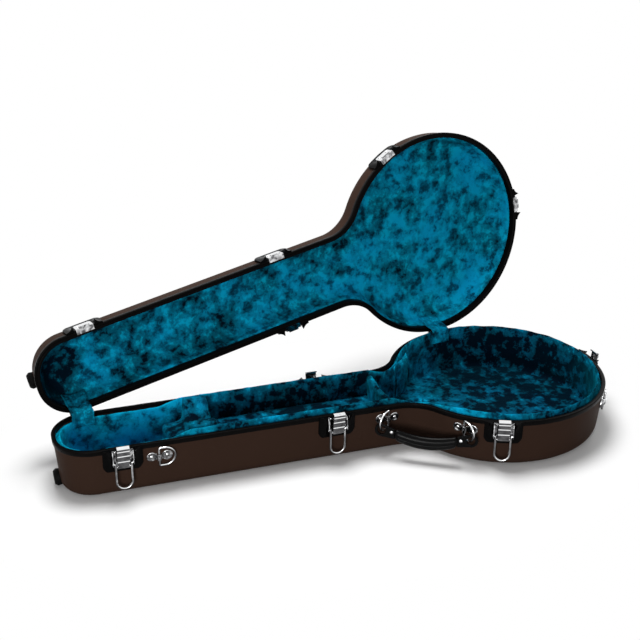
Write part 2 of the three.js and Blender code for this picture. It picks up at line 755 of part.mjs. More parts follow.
function baseLeaf() {
  const from = middleKnuckleHalf + knuckleGap;
  const solid = leaf(-1, [[-hingeHalf, -from], [from, hingeHalf]]);
  return geometryOf(solid.add(solidOf(pinRod(hingePin, 2 * hingeHalf, roundSides))));
}

function lidLeaf() {
  const solid = leaf(1, [[-middleKnuckleHalf, middleKnuckleHalf]]);
  return geometryOf(solid.subtract(solidOf(pinRod(hingeBore, 2 * hingeHalf, roundSides + 4))))
    .translate(0, -clearance, 0);
}

// The notch in both trims that takes the leaves and knuckles
function hingeNotch(spot) {
  const group = wallGroup(spot, rimZ, 0);
  group.updateMatrix();
  const inner = -(knuckle - hingeAxisOut) - 2 * clearance;
  return boxBetween(
    new THREE.Vector3(-hingeHalf - 2 * clearance, -cutOverrun, inner),
    new THREE.Vector3(hingeHalf + 2 * clearance, cutOverrun, cutOverrun),
  ).applyMatrix4(group.matrix);
}

// Hinge covers: velvet flaps that hide the hinges, from the base lining over the rims to the lid lining
const coverHalf = 22;
const coverSheet = 2.4;
const coverPlay = 2.7;
const coverBaseDrop = 18;
const coverLidReach = 36;
const coverLidRise = 5;
const coverSteps = 4;
const coverSide = wallPadInset + padBulge + coverPlay;
function hingeCover(radius) {
  // [out, up, on the lid]: the flap's middle line with the lid open
  const lidTop = lidTrimWidth + hingeAxisOut + coverPlay;
  const line = [
    [-coverSide, -coverBaseDrop, false],
    [-coverSide, crestRise - crestRound, false],
    [-coverSide + coverPlay + clearance, crestRise + coverPlay, false],
    [-crestOuterInset, lidTop, false],
    [0, lidTop, true],
    [lidEdgeDepth, lidTop + clearance, true],
    [lidEdgeDepth + 2 * lidRoll, lidTop + lidRoll + coverSheet / 2, true],
    [coverLidReach, lidTop + lidRoll + coverLidRise, true],
  ];
  const normals = line.map((_, i) => {
    const a = line[Math.max(i - 1, 0)];
    const b = line[Math.min(i + 1, line.length - 1)];
    return new THREE.Vector2(-(b[1] - a[1]), b[0] - a[0]).normalize();
  });
  const edge = (side) => line.map(([out, up, onLid], i) => [
    out + (side * coverSheet * normals[i].x) / 2, up + (side * coverSheet * normals[i].y) / 2, onLid,
  ]);
  const section = [...edge(-1), ...edge(1).reverse()];
  const inner = radius - coverSide;
  const flats = new Map();
  const loops = Array.from({ length: coverSteps + 1 }, (_, i) => {
    const side = coverHalf * ((2 * i) / coverSteps - 1);
    const sag = inner - Math.sqrt(inner * inner - side * side);
    return section.map(([out, up, onLid]) => {
      const point = new THREE.Vector3(side, up + (onLid ? sag : 0), out - (onLid ? 0 : sag));
      flats.set(point, new THREE.Vector2(out, up));
      return point;
    });
  });
  return skin(loops, (p) => flats.get(p));
}

// Ring clips: a strip with a round riveted end on each side, arched over the straight bar of a D ring
const ringWire = 2;
const clipBack = guardWallSeat;
const clipSheet = 2;
const clipFace = clipBack + clipSheet;
const clipStripHalf = 6;
const smallLobe = 9;
const smallLobeSide = -13;
const largeLobe = 10;
const largeLobeSide = 14.5;
const barOut = ringWire + 2 * clearance;
const archInner = 2.5;
const archOuter = 4.3;
const rivetRadius = 3.6;
const rivetHeight = 1.5;

function ringClip(hand) {
  const strip = new THREE.Shape();
  strip.moveTo(smallLobeSide, clipBack);
  strip.lineTo(-archInner, clipBack);
  strip.lineTo(-archInner, barOut);
  strip.absarc(0, barOut, archInner, Math.PI, 0, true);
  strip.lineTo(archInner, clipBack);
  strip.lineTo(largeLobeSide, clipBack);
  strip.lineTo(largeLobeSide, clipFace);
  strip.lineTo(archOuter, clipFace);
  strip.absarc(0, barOut, archOuter, 0, Math.PI, false);
  strip.lineTo(-archOuter, clipFace);
  strip.lineTo(smallLobeSide, clipFace);
  const pulled = new THREE.ExtrudeGeometry(strip, {
    depth: 2 * clipStripHalf, bevelEnabled: false, curveSegments: edgeSteps + 1,
  }).translate(0, 0, -clipStripHalf).rotateX(Math.PI / 2);
  const lobe = (side, radius) => [
    new THREE.CylinderGeometry(radius, radius, clipSheet, roundSides)
      .rotateX(Math.PI / 2).translate(side, 0, clipBack + clipSheet / 2),
    new THREE.CylinderGeometry(rivetRadius / 2, rivetRadius, rivetHeight, rivetSides)
      .rotateX(Math.PI / 2).translate(side, 0, clipFace + rivetHeight / 2),
  ];
  const solid = union([pulled, ...lobe(smallLobeSide, smallLobe), ...lobe(largeLobeSide, largeLobe)]);
  const geometry = geometryOf(solid);
  return hand < 0 ? flipFaces(geometry.scale(hand, 1, 1)) : geometry;
}

// A mirrored solid has its faces turned inside out, so each triangle is turned back
function flipFaces(geometry) {
  const flipped = geometry.index ? geometry.clone() : mergeVertices(geometry);
  const index = flipped.index.array;
  for (let i = 0; i < index.length; i += 3) {
    [index[i], index[i + 1]] = [index[i + 1], index[i]];
  }
  flipped.computeVertexNormals();
  return flipped;
}

// D rings: a straight bar with a round bow, drawn with the bar on the swing axis
const ringHalf = 18;
const ringBowSide = 10;
const ringSteps = 8;
const ringCorner = 2.5;
function dRing(hand) {
  const bow = Array.from({ length: ringSteps + 1 }, (_, i) => {
    const angle = -Math.PI / 2 + (Math.PI * i) / ringSteps;
    return [ringBowSide + ringHalf * Math.cos(angle), ringHalf * Math.sin(angle)];
  });
  const points = [[0, ringHalf - ringCorner], [0, -ringHalf + ringCorner], [ringCorner, -ringHalf],
    ...bow, [ringCorner, ringHalf]];
  return wire(
    points.map(([x, y]) => new THREE.Vector3(hand * x, y, 0)), ringWire, new THREE.Vector3(0, 0, 1), true,
  );
}

const strapFromTip = 175;
const strapDrop = 29;
const strapSpots = {
  strap_peghead: neckSpot(neckTipX + strapFromTip, -1),
  strap_tail: potSpot(-39),
};

// Handle: a padded leather grip with a flat eyelet tab at each end, hooked on two swung-out D rings
const handleDrop = 25;
const handleFromWaist = 19.6;
const handleRingSwing = THREE.MathUtils.degToRad(35);
const hookAngle = THREE.MathUtils.degToRad(-52);
const handleMounts = {
  handle_neck: { spot: neckSpot(waistAtNeck.x - handleFromWaist, -1), hand: -1 },
  handle_pot: { spot: potSpot(-132.6), hand: 1 },
};
const tabHalf = 1.8;
const tabEye = 8;
const tabRim = 13;
const tabLength = 25;
const gripSag = 11;
const gripStart = -6;
const gripHalfHeight = 13;
const gripHalfDepth = 9;
const gripEndShare = 0.78;
const gripSteps = 8;
const gripSides = 10;

function hookPoint({ spot, hand }) {
  const group = baseWall(spot);
  const side = ringBowSide + ringHalf * Math.cos(hookAngle);
  const local = new THREE.Vector3(
    hand * side * Math.cos(handleRingSwing),
    -handleDrop + ringHalf * Math.sin(hookAngle),
    barOut + side * Math.sin(handleRingSwing),
  );
  group.updateMatrix();
  return local.applyMatrix4(group.matrix);
}
const handleFrom = hookPoint(handleMounts.handle_neck);
const handleTo = hookPoint(handleMounts.handle_pot);
const handleHalf = handleFrom.distanceTo(handleTo) / 2;
const gripHalf = handleHalf - tabLength;
const gripY = (x) => gripStart - gripSag * (1 - (x / gripHalf) ** 2);

function grip() {
  const flats = new Map();
  const loops = Array.from({ length: gripSteps + 1 }, (_, i) => {
    const x = gripHalf * ((2 * i) / gripSteps - 1);
    const size = gripEndShare + (1 - gripEndShare) * Math.sqrt(1 - Math.min((x / gripHalf) ** 2, 1));
    return Array.from({ length: gripSides }, (_, k) => {
      const angle = (2 * Math.PI * (k + 0.5)) / gripSides;
      const up = size * gripHalfHeight * Math.sin(angle);
      const out = size * gripHalfDepth * Math.cos(angle);
      const point = new THREE.Vector3(x, gripY(x) + up, out);
      flats.set(point, new THREE.Vector2(up, out));
      return point;
    });
  });
  return skin(loops, (p) => flats.get(p));
}

function tab(hand) {
  const tall = gripEndShare * gripHalfHeight;
  const inner = tabLength - clearance;
  const shape = new THREE.Shape();
  shape.absarc(0, 0, tabRim, Math.PI / 2, (3 * Math.PI) / 2, false);
  shape.lineTo(inner, gripStart - tall);
  shape.lineTo(inner, gripStart + tall);
  shape.closePath();
  shape.holes.push(new THREE.Path().absarc(0, 0, tabEye, 0, 2 * Math.PI));
  const geometry = raisedPlate(shape, -tabHalf, tabHalf).translate(-handleHalf, 0, 0);
  return hand < 0 ? geometry : geometry.rotateY(Math.PI);
}

// Feet: round rubber bumpers low on the neck end, so that the shut case can stand upright on them
const footRadius = 15.5;
const footFaceRadius = 11;
const footOut = 9;
const footRim = 4;
const footRoot = 9;
const footHeight = 16.2;
const tipSpot = { x: neckTipX, y: 0, out: new THREE.Vector3(-1, 0, 0), bend: endCornerRadius };
function foot(depth, edgeRadius, toZ, wall, up) {
  const profile = [
    [0, -footRoot], [footRadius, -footRoot], [footRadius, footRim], [footFaceRadius, footOut],
    [footFaceRadius / 3, footOut], [footFaceRadius / 4, footRim], [0, footRim],
  ].map(([r, out]) => new THREE.Vector2(r, out));
  const body = new THREE.LatheGeometry(profile, roundSides + 4).rotateX(Math.PI / 2)
    .translate(0, up * (depth - footHeight), 0);
  const group = wall(tipSpot);
  group.updateMatrix();
  const shell = skin([
    ...edgeArc(depth, edgeRadius, 0).reverse(),
    [wallInset(0), 0],
  ].map(([inset, level]) => ring(inset - clearance, toZ(level + (level === depth ? clearance : 0)))), fromAbove);
  const placed = solidOf(body.applyMatrix4(group.matrix));
  return geometryOf(placed.subtract(solidOf(shell)));
}

// Assembly of the base
const banjoCase = new THREE.Group();
const cut = (geometry, cutters) => geometryOf(
  cutters.reduce((solid, cutter) => solid.subtract(solidOf(cutter)), solidOf(geometry)),
);
const hingeNotches = Object.values(hingeSpots).map(hingeNotch);
const keeperNotches = Object.values(latchSpots).map(keeperNotch);
addMesh(banjoCase, 'base_shell', baseShell, brownShell);
addMesh(banjoCase, 'base_rim_trim', cut(baseTrimRing, hingeNotches), blackTrim);
addMesh(banjoCase, 'base_lining', baseLining, blueVelvet);
addMesh(banjoCase, 'neck_rest', geometryOf(neckRest), blueVelvet);
addMesh(banjoCase, 'pocket_bulkhead', geometryOf(bulkhead), blueVelvet);
addMesh(banjoCase, 'waist_bolster_front', bolster(-1), blueVelvet);
addMesh(banjoCase, 'waist_bolster_back', bolster(1), blueVelvet);
addMesh(
  banjoCase, 'base_foot',
  foot(baseDepth, baseEdgeRadius, (level) => rimZ - level, baseWall, -1), blackRubber,
);
const pocketGroup = new THREE.Group();
pocketGroup.name = 'pivot_pocket_lid';
pocketGroup.position.copy(pocketPivot);
addMesh(pocketGroup, 'pocket_lid', pocketLidBoard, blueVelvet);
banjoCase.add(pocketGroup);

// Assembly of the lid, modelled shut and then swung open about the hinge line
const lidGroup = new THREE.Group();
const hingePoint = new THREE.Vector3(hingeSpots.hinge_neck.x, hingeSpots.hinge_neck.y, rimZ + hingeAxisZ)
  .addScaledVector(hingeOut, hingeAxisOut);
lidGroup.name = 'pivot_lid';
lidGroup.position.copy(hingePoint);
lidGroup.quaternion.setFromAxisAngle(hingeLine, -lidOpening);
const lidFrame = new THREE.Group();
lidFrame.position.copy(hingePoint).negate();
lidGroup.add(lidFrame);
banjoCase.add(lidGroup);
addMesh(lidFrame, 'lid_shell', lidShell, brownShell);
addMesh(lidFrame, 'lid_rim_trim', cut(lidTrimRing, [...hingeNotches, ...keeperNotches]), blackTrim);
addMesh(lidFrame, 'lid_lining', lidLining, blueVelvet);
addMesh(
  lidFrame, 'lid_foot', foot(lidDepth, lidEdgeRadius, (level) => lidRimZ + level, lidWall, 1), blackRubber,
);

for (const [name, spot] of Object.entries(hingeSpots)) {
  const onBase = wallGroup(spot, rimZ, 0);
  addMesh(onBase, `${name}_base_leaf`, baseLeaf(), chromePlate);
  addMesh(onBase, `${name}_cover`, hingeCover(spot.bend), blueVelvet);
  banjoCase.add(onBase);
  const onLid = wallGroup(spot, lidRimZ, 0);
  addMesh(onLid, `${name}_lid_leaf`, lidLeaf(), chromePlate);
  lidFrame.add(onLid);
}

for (const [name, spot] of Object.entries(latchSpots)) {
  const onBase = baseWall(spot);
  addMesh(onBase, `${name}_base_guard`, guard(spot, baseGuardHeight, -1, guardRimGap), blackGuard);
  addMesh(onBase, `${name}_plate`, latchPlate(), chromePlate);
  const bailGroup = new THREE.Group();
  bailGroup.name = `pivot_${name}_bail`;
  bailGroup.position.set(0, bailPivotUp, bailPivotOut);
  bailGroup.rotation.x = -slopeAngle;
  addMesh(bailGroup, `${name}_bail`, bail(), chromePlate);
  const clawGroup = new THREE.Group();
  clawGroup.name = `pivot_${name}_claw`;
  clawGroup.position.set(0, -crankArm, 0);
  clawGroup.rotation.x = slopeAngle + clawTilt;
  addMesh(clawGroup, `${name}_claw`, claw(), chromePlate);
  bailGroup.add(clawGroup);
  onBase.add(bailGroup);
  banjoCase.add(onBase);
  const onLid = lidWall(spot);
  const seatGap = guardRimGap + keeperFlange + clearance;
  addMesh(onLid, `${name}_lid_guard`, guard(spot, lidGuardHeight, 1, seatGap), blackGuard);
  addMesh(onLid, `${name}_keeper`, keeper(), chromePlate);
  lidFrame.add(onLid);
}

function addRing(name, spot, drop, hand, swing) {
  const onBase = baseWall(spot);
  const clipMesh = addMesh(onBase, `${name}_clip`, ringClip(hand), chromePlate);
  clipMesh.position.y = -drop;
  const ringGroup = new THREE.Group();
  ringGroup.name = `pivot_${name}_ring`;
  ringGroup.position.set(0, -drop, barOut);
  ringGroup.rotation.y = -hand * swing;
  addMesh(ringGroup, `${name}_ring`, dRing(hand), chromePlate);
  onBase.add(ringGroup);
  banjoCase.add(onBase);
}
for (const [name, spot] of Object.entries(strapSpots)) {
  addRing(name, spot, strapDrop, 1, 0);
}
for (const [name, { spot, hand }] of Object.entries(handleMounts)) {
  addRing(name, spot, handleDrop, hand, handleRingSwing);
}

const handleGroup = new THREE.Group();
const handleAlong = new THREE.Vector3().subVectors(handleTo, handleFrom).normalize();
const handleUp = new THREE.Vector3(0, 0, 1);
const handleOut = new THREE.Vector3().crossVectors(handleAlong, handleUp);
handleGroup.name = 'pivot_handle';
handleGroup.applyMatrix4(new THREE.Matrix4().makeBasis(handleAlong, handleUp, handleOut));
handleGroup.position.addVectors(handleFrom, handleTo).multiplyScalar(0.5);
addMesh(handleGroup, 'handle_grip', grip(), blackLeather);
addMesh(handleGroup, 'handle_tab_neck', tab(-1), blackLeather);
addMesh(handleGroup, 'handle_tab_pot', tab(1), blackLeather);
banjoCase.add(handleGroup);

export default banjoCase;
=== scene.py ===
import math

import bmesh
import bpy
import numpy as np
from mathutils import Matrix, Vector, noise
from mathutils.geometry import delaunay_2d_cdt


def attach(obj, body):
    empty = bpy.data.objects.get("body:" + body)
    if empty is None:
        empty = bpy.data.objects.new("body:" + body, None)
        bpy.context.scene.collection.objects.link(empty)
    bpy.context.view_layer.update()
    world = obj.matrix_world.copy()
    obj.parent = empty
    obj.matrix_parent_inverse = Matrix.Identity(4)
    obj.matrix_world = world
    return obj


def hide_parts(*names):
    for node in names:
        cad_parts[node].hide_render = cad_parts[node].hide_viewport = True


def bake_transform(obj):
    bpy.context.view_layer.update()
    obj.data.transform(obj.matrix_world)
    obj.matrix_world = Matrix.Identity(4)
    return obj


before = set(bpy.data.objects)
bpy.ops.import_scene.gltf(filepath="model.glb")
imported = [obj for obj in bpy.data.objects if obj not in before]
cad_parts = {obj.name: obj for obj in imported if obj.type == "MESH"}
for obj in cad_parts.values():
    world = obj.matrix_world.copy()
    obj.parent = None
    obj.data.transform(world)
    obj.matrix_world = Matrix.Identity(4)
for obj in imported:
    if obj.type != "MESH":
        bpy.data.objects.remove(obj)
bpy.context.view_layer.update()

# Camera. It stands in front of the neck end, a little over a metre above the floor, and looks down along
# the open case towards the pot.
def place_object(name, data):
    made = bpy.data.objects.new(name, data)
    bpy.context.scene.collection.objects.link(made)
    return made


camera_place = (-0.93245, -1.63772, 1.01030)
camera_right = (0.94718, -0.32062, 0.00775)
camera_up = (0.12140, 0.38081, 0.91665)
camera_back = (-0.29684, -0.86729, 0.39962)
camera_data = bpy.data.cameras.new("camera")
camera_data.lens = 58.07
camera_data.sensor_width = 36.0
camera = place_object("camera", camera_data)
camera_turn = Matrix((camera_right, camera_up, camera_back)).transposed().to_4x4()
camera.matrix_world = Matrix.Translation(camera_place) @ camera_turn
bpy.context.scene.camera = camera
bpy.context.scene.view_settings.view_transform = "Standard"


# Stage: a white floor under a wide overhead softbox, a soft light from the camera's side and a weak one
# from behind the pot. The world is white to the eye, but its light is dim at the horizon and stronger
# above. The floor turns to the same white away from the case, and keeps the shadow near it.
def add_node(tree, kind, inputs=None, output=None, **settings):
    """A shader node with its inputs set or linked, or the output of it that is asked for."""
    made = tree.nodes.new("ShaderNode" + kind)
    for name, value in settings.items():
        setattr(made, name, value)
    for name, value in (inputs or {}).items():
        if isinstance(value, bpy.types.NodeSocket):
            tree.links.new(value, made.inputs[name])
        else:
            made.inputs[name].default_value = value
    return made.outputs[output] if output else made


def calc(tree, operation, *values, **settings):
    """The result of a sum on shader values."""
    return add_node(tree, "Math", dict(enumerate(values)), "Value", operation=operation, **settings)


def spread(tree, value, start, end, low=0.0, high=1.0, **settings):
    """A shader value carried from one range to another."""
    return add_node(tree, "MapRange", {
        "Value": value, "From Min": start, "From Max": end, "To Min": low, "To Max": high,
    }, "Result", **settings)


def vector_calc(tree, operation, vector, other, output="Vector"):
    """The result of a sum on shader vectors."""
    return add_node(tree, "VectorMath", {0: vector, 1: other}, output, operation=operation)


def texture_place(tree):
    return add_node(tree, "TexCoord", None, "Object")


def area_light(name, place, target, size, power):
    data = bpy.data.lights.new(name, "AREA")
    data.shape = "DISK"
    data.size = size
    data.energy = power
    lamp = place_object(name, data)
    lamp.location = place
    lamp.rotation_euler = (Vector(target) - Vector(place)).to_track_quat("-Z", "Y").to_euler()


def seen_directly(tree):
    """1 for the rays of the camera, of reflections and of glass, which all show the white background."""
    path = add_node(tree, "LightPath").outputs
    both = calc(tree, "ADD", path["Is Camera Ray"], path["Is Glossy Ray"])
    return calc(tree, "ADD", both, path["Is Transmission Ray"], use_clamp=True)


def new_material(name, color, roughness, metallic=0.0, specular=0.5):
    made = bpy.data.materials.new(name)
    made.use_nodes = True
    shader = made.node_tree.nodes["Principled BSDF"]
    shader.inputs["Base Color"].default_value = (*color, 1)
    shader.inputs["Roughness"].default_value = roughness
    shader.inputs["Metallic"].default_value = metallic
    shader.inputs["Specular IOR Level"].default_value = specular
    return made, made.node_tree, shader


def mix_color(tree, factor, low, high):
    return add_node(tree, "Mix", {"Factor": factor, 6: low, 7: high}, 2, data_type="RGBA")


world = bpy.data.worlds.new("studio")
bpy.context.scene.world = world
world.use_nodes = True
sky = world.node_tree
sky.nodes.clear()
sky_height = add_node(sky, "SeparateXYZ", {"Vector": add_node(sky, "TexCoord", None, "Generated")}, "Z")
sky_level = add_node(sky, "Mix", {
    "Factor": seen_directly(sky), "A": spread(sky, sky_height, 0.0, 0.9, 0.03, 0.3), "B": 1.0,
}, "Result")
sky_light = add_node(sky, "Background", {"Color": (1, 1, 1, 1), "Strength": sky_level}, "Background")
add_node(sky, "OutputWorld", {"Surface": sky_light})

area_light("overhead_softbox", (-0.45, 0.4, 2.3), (-0.33, -0.05, 0.0), 1.2, 46)
area_light("front_softbox", (-1.6, -2.5, 0.6), (-0.3, 0.1, 0.25), 1.2, 50)
area_light("edge_light", (1.6, 1.2, 1.5), (0.0, 0.0, 0.1), 0.9, 8)

floor_half = 12.0
floor_grey = (0.14, 0.14, 0.14, 1)
floor_white = (0.95, 0.95, 0.95, 1)
floor_mesh = bpy.data.meshes.new("floor")
floor_corners = [(x * floor_half, y * floor_half, 0) for x, y in ((-1, -1), (1, -1), (1, 1), (-1, 1))]
floor_mesh.from_pydata(floor_corners, [], [(0, 1, 2, 3)])
floor = place_object("floor", floor_mesh)
floor_paint, floor_tree, floor_shader = new_material("floor_paint", floor_grey[:3], 0.9, specular=0.0)
floor_seen = seen_directly(floor_tree)
floor_tone = mix_color(floor_tree, floor_seen, floor_grey, floor_white)
floor_tree.links.new(floor_tone, floor_shader.inputs["Base Color"])
floor_oval = vector_calc(floor_tree, "MULTIPLY", texture_place(floor_tree), (1.0, 1.6, 1.0))
floor_reach = vector_calc(floor_tree, "DISTANCE", floor_oval, (-0.33, 0.0, 0.0), "Value")
floor_far = spread(floor_tree, floor_reach, 0.53, 0.72, interpolation_type="SMOOTHSTEP")
floor_mix = add_node(floor_tree, "MixShader", {
    0: calc(floor_tree, "MULTIPLY", floor_far, floor_seen), 1: floor_shader.outputs["BSDF"],
    2: add_node(floor_tree, "Emission", {"Color": (1, 1, 1, 1), "Strength": 1.0}, "Emission"),
}, "Shader")
floor_tree.links.new(floor_mix, floor_tree.nodes["Material Output"].inputs["Surface"])
floor_mesh.materials.append(floor_paint)

# Base shell: the lower half of the case, a brown moulding with an even wall, tapering sides and a rounded
# edge to its flat bottom. Its outline is a round pot, a straight neck part and two hollow waists between.
mm = 0.001
case_length = 1080
pot_radius = 213
neck_half_at_pot = 77.2
neck_half_at_end = 75.1
end_radius = 69.3
waist_radius = 71.2
rim_z = 98
base_depth = 98
wall_slope = 0.075
shell_wall = 4
shell_inset = 1.9
base_edge_radius = 18
trim_web = 3.2

neck_tip_x = pot_radius - case_length
end_centre = np.array([neck_tip_x + end_radius, neck_half_at_end - end_radius])
neck_side = np.array([-pot_radius - end_centre[0], neck_half_at_pot - neck_half_at_end])
neck_side = neck_side / np.linalg.norm(neck_side)
neck_normal = np.array([-neck_side[1], neck_side[0]])
waist_start = np.array([end_centre[0], neck_half_at_end]) + waist_radius * neck_normal
waist_along = waist_start @ neck_side
waist_step = -waist_along - math.sqrt(
    waist_along ** 2 - waist_start @ waist_start + (pot_radius + waist_radius) ** 2
)
waist_centre = waist_start + waist_step * neck_side
waist_at_neck = waist_centre - waist_radius * neck_normal
waist_angle = math.atan2(waist_centre[1], waist_centre[0])


def arc(centre, radius, start, end, spacing, hollow=False):
    """Points on an arc of the outline, each with its direction towards the inside of the case."""
    steps = max(2, round(abs(end - start) * radius / spacing))
    angles = np.linspace(start, end, steps + 1)
    out = np.stack([np.cos(angles), np.sin(angles)], 1)
    return np.hstack([np.array(centre) + radius * out, out if hollow else -out])


def outline(spacing):
    """The outline over the rim trim, from the tail round by the back, as rows of x, y and the direction
    inwards."""
    pot = arc((0, 0), pot_radius, 0, waist_angle, spacing)
    neck_angle = math.atan2(-neck_normal[1], -neck_normal[0])
    waist = arc(waist_centre, waist_radius, waist_angle - math.pi, neck_angle, spacing, True)[1:]
    straight = waist_at_neck[0] - end_centre[0]
    steps = round(straight / spacing)
    shares = np.arange(1, steps)[:, None] / steps
    side = waist_at_neck - neck_side * straight * shares
    side = np.hstack([side, np.broadcast_to(-neck_normal, side.shape)])
    end = arc(end_centre, end_radius, math.pi / 2, math.pi, spacing)
    back = np.vstack([pot, waist, side, end])
    front = back[1:][::-1] * (1, -1, 1, -1)
    return np.vstack([back, front])


def ring(stations, inset, z):
    """The outline moved inwards, at one height or at a height for each station."""
    place = stations[:, :2] + stations[:, 2:] * np.reshape(inset, (-1, 1))
    return np.hstack([place, np.broadcast_to(np.reshape(z, (-1, 1)), (len(stations), 1))])


def loft(loops, closed=False):
    """Points and faces of a skin over a row of loops, with its ends filled unless it closes on itself."""
    count = len(loops[0])
    rows = len(loops)
    faces = []
    for row in range(rows if closed else rows - 1):
        here, there = row * count, (row + 1) % rows * count
        for i in range(count):
            j = (i + 1) % count
            faces.append((here + i, here + j, there + j, there + i))
    if not closed:
        faces += [tuple(range(count)), tuple(range((rows - 1) * count, rows * count))]
    return np.vstack(loops), faces


def add_piece(name, shape, material, body, nodes=(), place=None, bevel=0, sharp=35):
    """A closed piece from points in millimetres, riding on a body and standing for its CAD nodes. Its
    object stays at the origin, and its place goes into its mesh."""
    points, faces = shape
    mesh = bpy.data.meshes.new(name)
    mesh.from_pydata((np.asarray(points) * mm).tolist(), [], faces)
    work = bmesh.new()
    work.from_mesh(mesh)
    bmesh.ops.remove_doubles(work, verts=work.verts, dist=1e-6)
    bmesh.ops.recalc_face_normals(work, faces=work.faces)
    work.to_mesh(mesh)
    work.free()
    mesh.shade_smooth()
    mesh.set_sharp_from_angle(angle=math.radians(sharp))
    mesh.materials.append(material)
    if place is not None:
        mesh.transform(place)
    piece = place_object(name, mesh)
    if bevel:
        soften(piece, bevel)
    if body:
        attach(piece, body)
    if nodes:
        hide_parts(*nodes)
    return piece


def soften(piece, width, angle=30):
    """Rounds a piece's edges, as tumbled metal or moulded plastic has them."""
    rounding = piece.modifiers.new("rounding", "BEVEL")
    rounding.width = width * mm
    rounding.segments = 2
    rounding.limit_method = "ANGLE"
    rounding.angle_limit = math.radians(angle)
    rounding.harden_normals = True


def add_bump(tree, shader, height, strength, distance):
    bump = add_node(tree, "Bump", {"Strength": strength, "Distance": distance, "Height": height}, "Normal")
    tree.links.new(bump, shader.inputs["Normal"])


shell_brown = (0.0385, 0.021, 0.0148, 1)
shell_worn = (0.056, 0.0355, 0.027, 1)
shell_dark, shell_light = (tuple(tone * c for c in shell_brown[:3]) + (1,) for tone in (0.92, 1.08))
shell_paint, shell_tree, shell_shader = new_material("moulded_shell", shell_brown[:3], 0.5, specular=0.02)
shell_place = texture_place(shell_tree)
shell_cloud = add_node(shell_tree, "TexNoise", {"Vector": shell_place, "Scale": 9.0, "Detail": 4.0}, "Fac")
shell_scuff = add_node(shell_tree, "TexNoise", {
    "Vector": shell_place, "Scale": 70.0, "Detail": 8.0, "Roughness": 0.7, "Distortion": 1.5,
}, "Fac")
shell_tint = mix_color(
    shell_tree, spread(shell_tree, shell_scuff, 0.63, 0.74, 0.0, 0.5),
    mix_color(shell_tree, shell_cloud, shell_dark, shell_light), shell_worn,
)
shell_tree.links.new(shell_tint, shell_shader.inputs["Base Color"])
shell_grain = add_node(shell_tree, "TexVoronoi", {"Vector": shell_place, "Scale": 620.0}, "Distance")
add_bump(shell_tree, shell_shader, shell_grain, 0.25, 0.0004)


def wall_inset(depth):
    return shell_inset + wall_slope * depth


def edge_arc(depth, radius, wall, steps=8):
    """(inset, depth) round the shell's edge, for its outer face or, one wall in, its inner face."""
    angles = np.linspace(0, math.pi / 2, steps + 1)
    bend = radius - wall
    start = depth - radius
    return [
        (wall_inset(start) + radius - bend * math.cos(a), start + bend * math.sin(a)) for a in angles
    ]


def shell_shape(depth, radius, to_z):
    """A tray of even wall: outside from the middle of its bottom up to the rim, then down the inside."""
    flat_border = 12
    outer = edge_arc(depth, radius, 0)[::-1]
    inner = edge_arc(depth, radius, shell_wall)
    section = [
        (outer[0][0] + flat_border, depth), *outer, (wall_inset(trim_web), trim_web),
        (wall_inset(trim_web) + shell_wall, trim_web), *inner,
        (inner[-1][0] + flat_border, depth - shell_wall),
    ]
    stations = outline(6)
    return loft([ring(stations, inset, to_z(level)) for inset, level in section])


add_piece(
    "base_moulding", shell_shape(base_depth, base_edge_radius, lambda level: rim_z - level),
    shell_paint, "base", ["base_shell"],
)

# Lid shell: the same moulding, shallower and with a larger rounded edge. It is built shut, and the lid's
# matrix turns it open about the straight line along the backs of the neck end and the pot.
lid_depth = 58
lid_edge_radius = 26
clearance = 0.3
lid_rim_z = rim_z + clearance
lid_opening = math.radians(94.3)
hinge_axis_out = 0.8
hinge_axis_z = 0.15
hinge_angle = math.atan2(-end_centre[1], -end_centre[0]) + math.asin(
    (pot_radius - end_radius) / np.linalg.norm(end_centre)
)
hinge_line = Vector((math.cos(hinge_angle), math.sin(hinge_angle), 0))
hinge_out = Vector((-hinge_line.y, hinge_line.x, 0))
hinge_point = Vector((*end_centre, rim_z + hinge_axis_z)) + hinge_out * (end_radius + hinge_axis_out)
lid_place = (
    Matrix.Translation(hinge_point * mm) @ Matrix.Rotation(-lid_opening, 4, hinge_line)
    @ Matrix.Translation(-hinge_point * mm)
)
add_piece(
    "lid_moulding", shell_shape(lid_depth, lid_edge_radius, lambda level: lid_rim_z + level),
    shell_paint, "lid", ["lid_shell"], lid_place,
)

# Rim trims: black channels pushed over both wall edges, with a shallow groove along the lid's. They are
# notched for the hinge knuckles and, on the lid, for the folded flanges of the keepers.
trim_leg = 1.6
trim_leg_depth = 9
trim_web_depth = 2.9
slot_inner = trim_leg + clearance + shell_wall + clearance
base_trim_width = 7.4
base_trim_inner = 6
lid_trim_width = 10
lid_trim_inner = 12
hinge_half = 17
knuckle = 2.6
keeper_half = 16.2
keeper_flange = 1.2
guard_gap = 0.2
flange_in = -6


def new_group(name, inputs, outputs):
    """A shader node group, with the sockets inside it."""
    made = bpy.data.node_groups.new(name, "ShaderNodeTree")
    for way, sockets in (("INPUT", inputs), ("OUTPUT", outputs)):
        for socket in sockets:
            kind = "Vector" if socket in ("Vector", "Normal") else "Float"
            made.interface.new_socket(socket, in_out=way, socket_type="NodeSocket" + kind)
    return made, made.nodes.new("NodeGroupInput").outputs, made.nodes.new("NodeGroupOutput").inputs


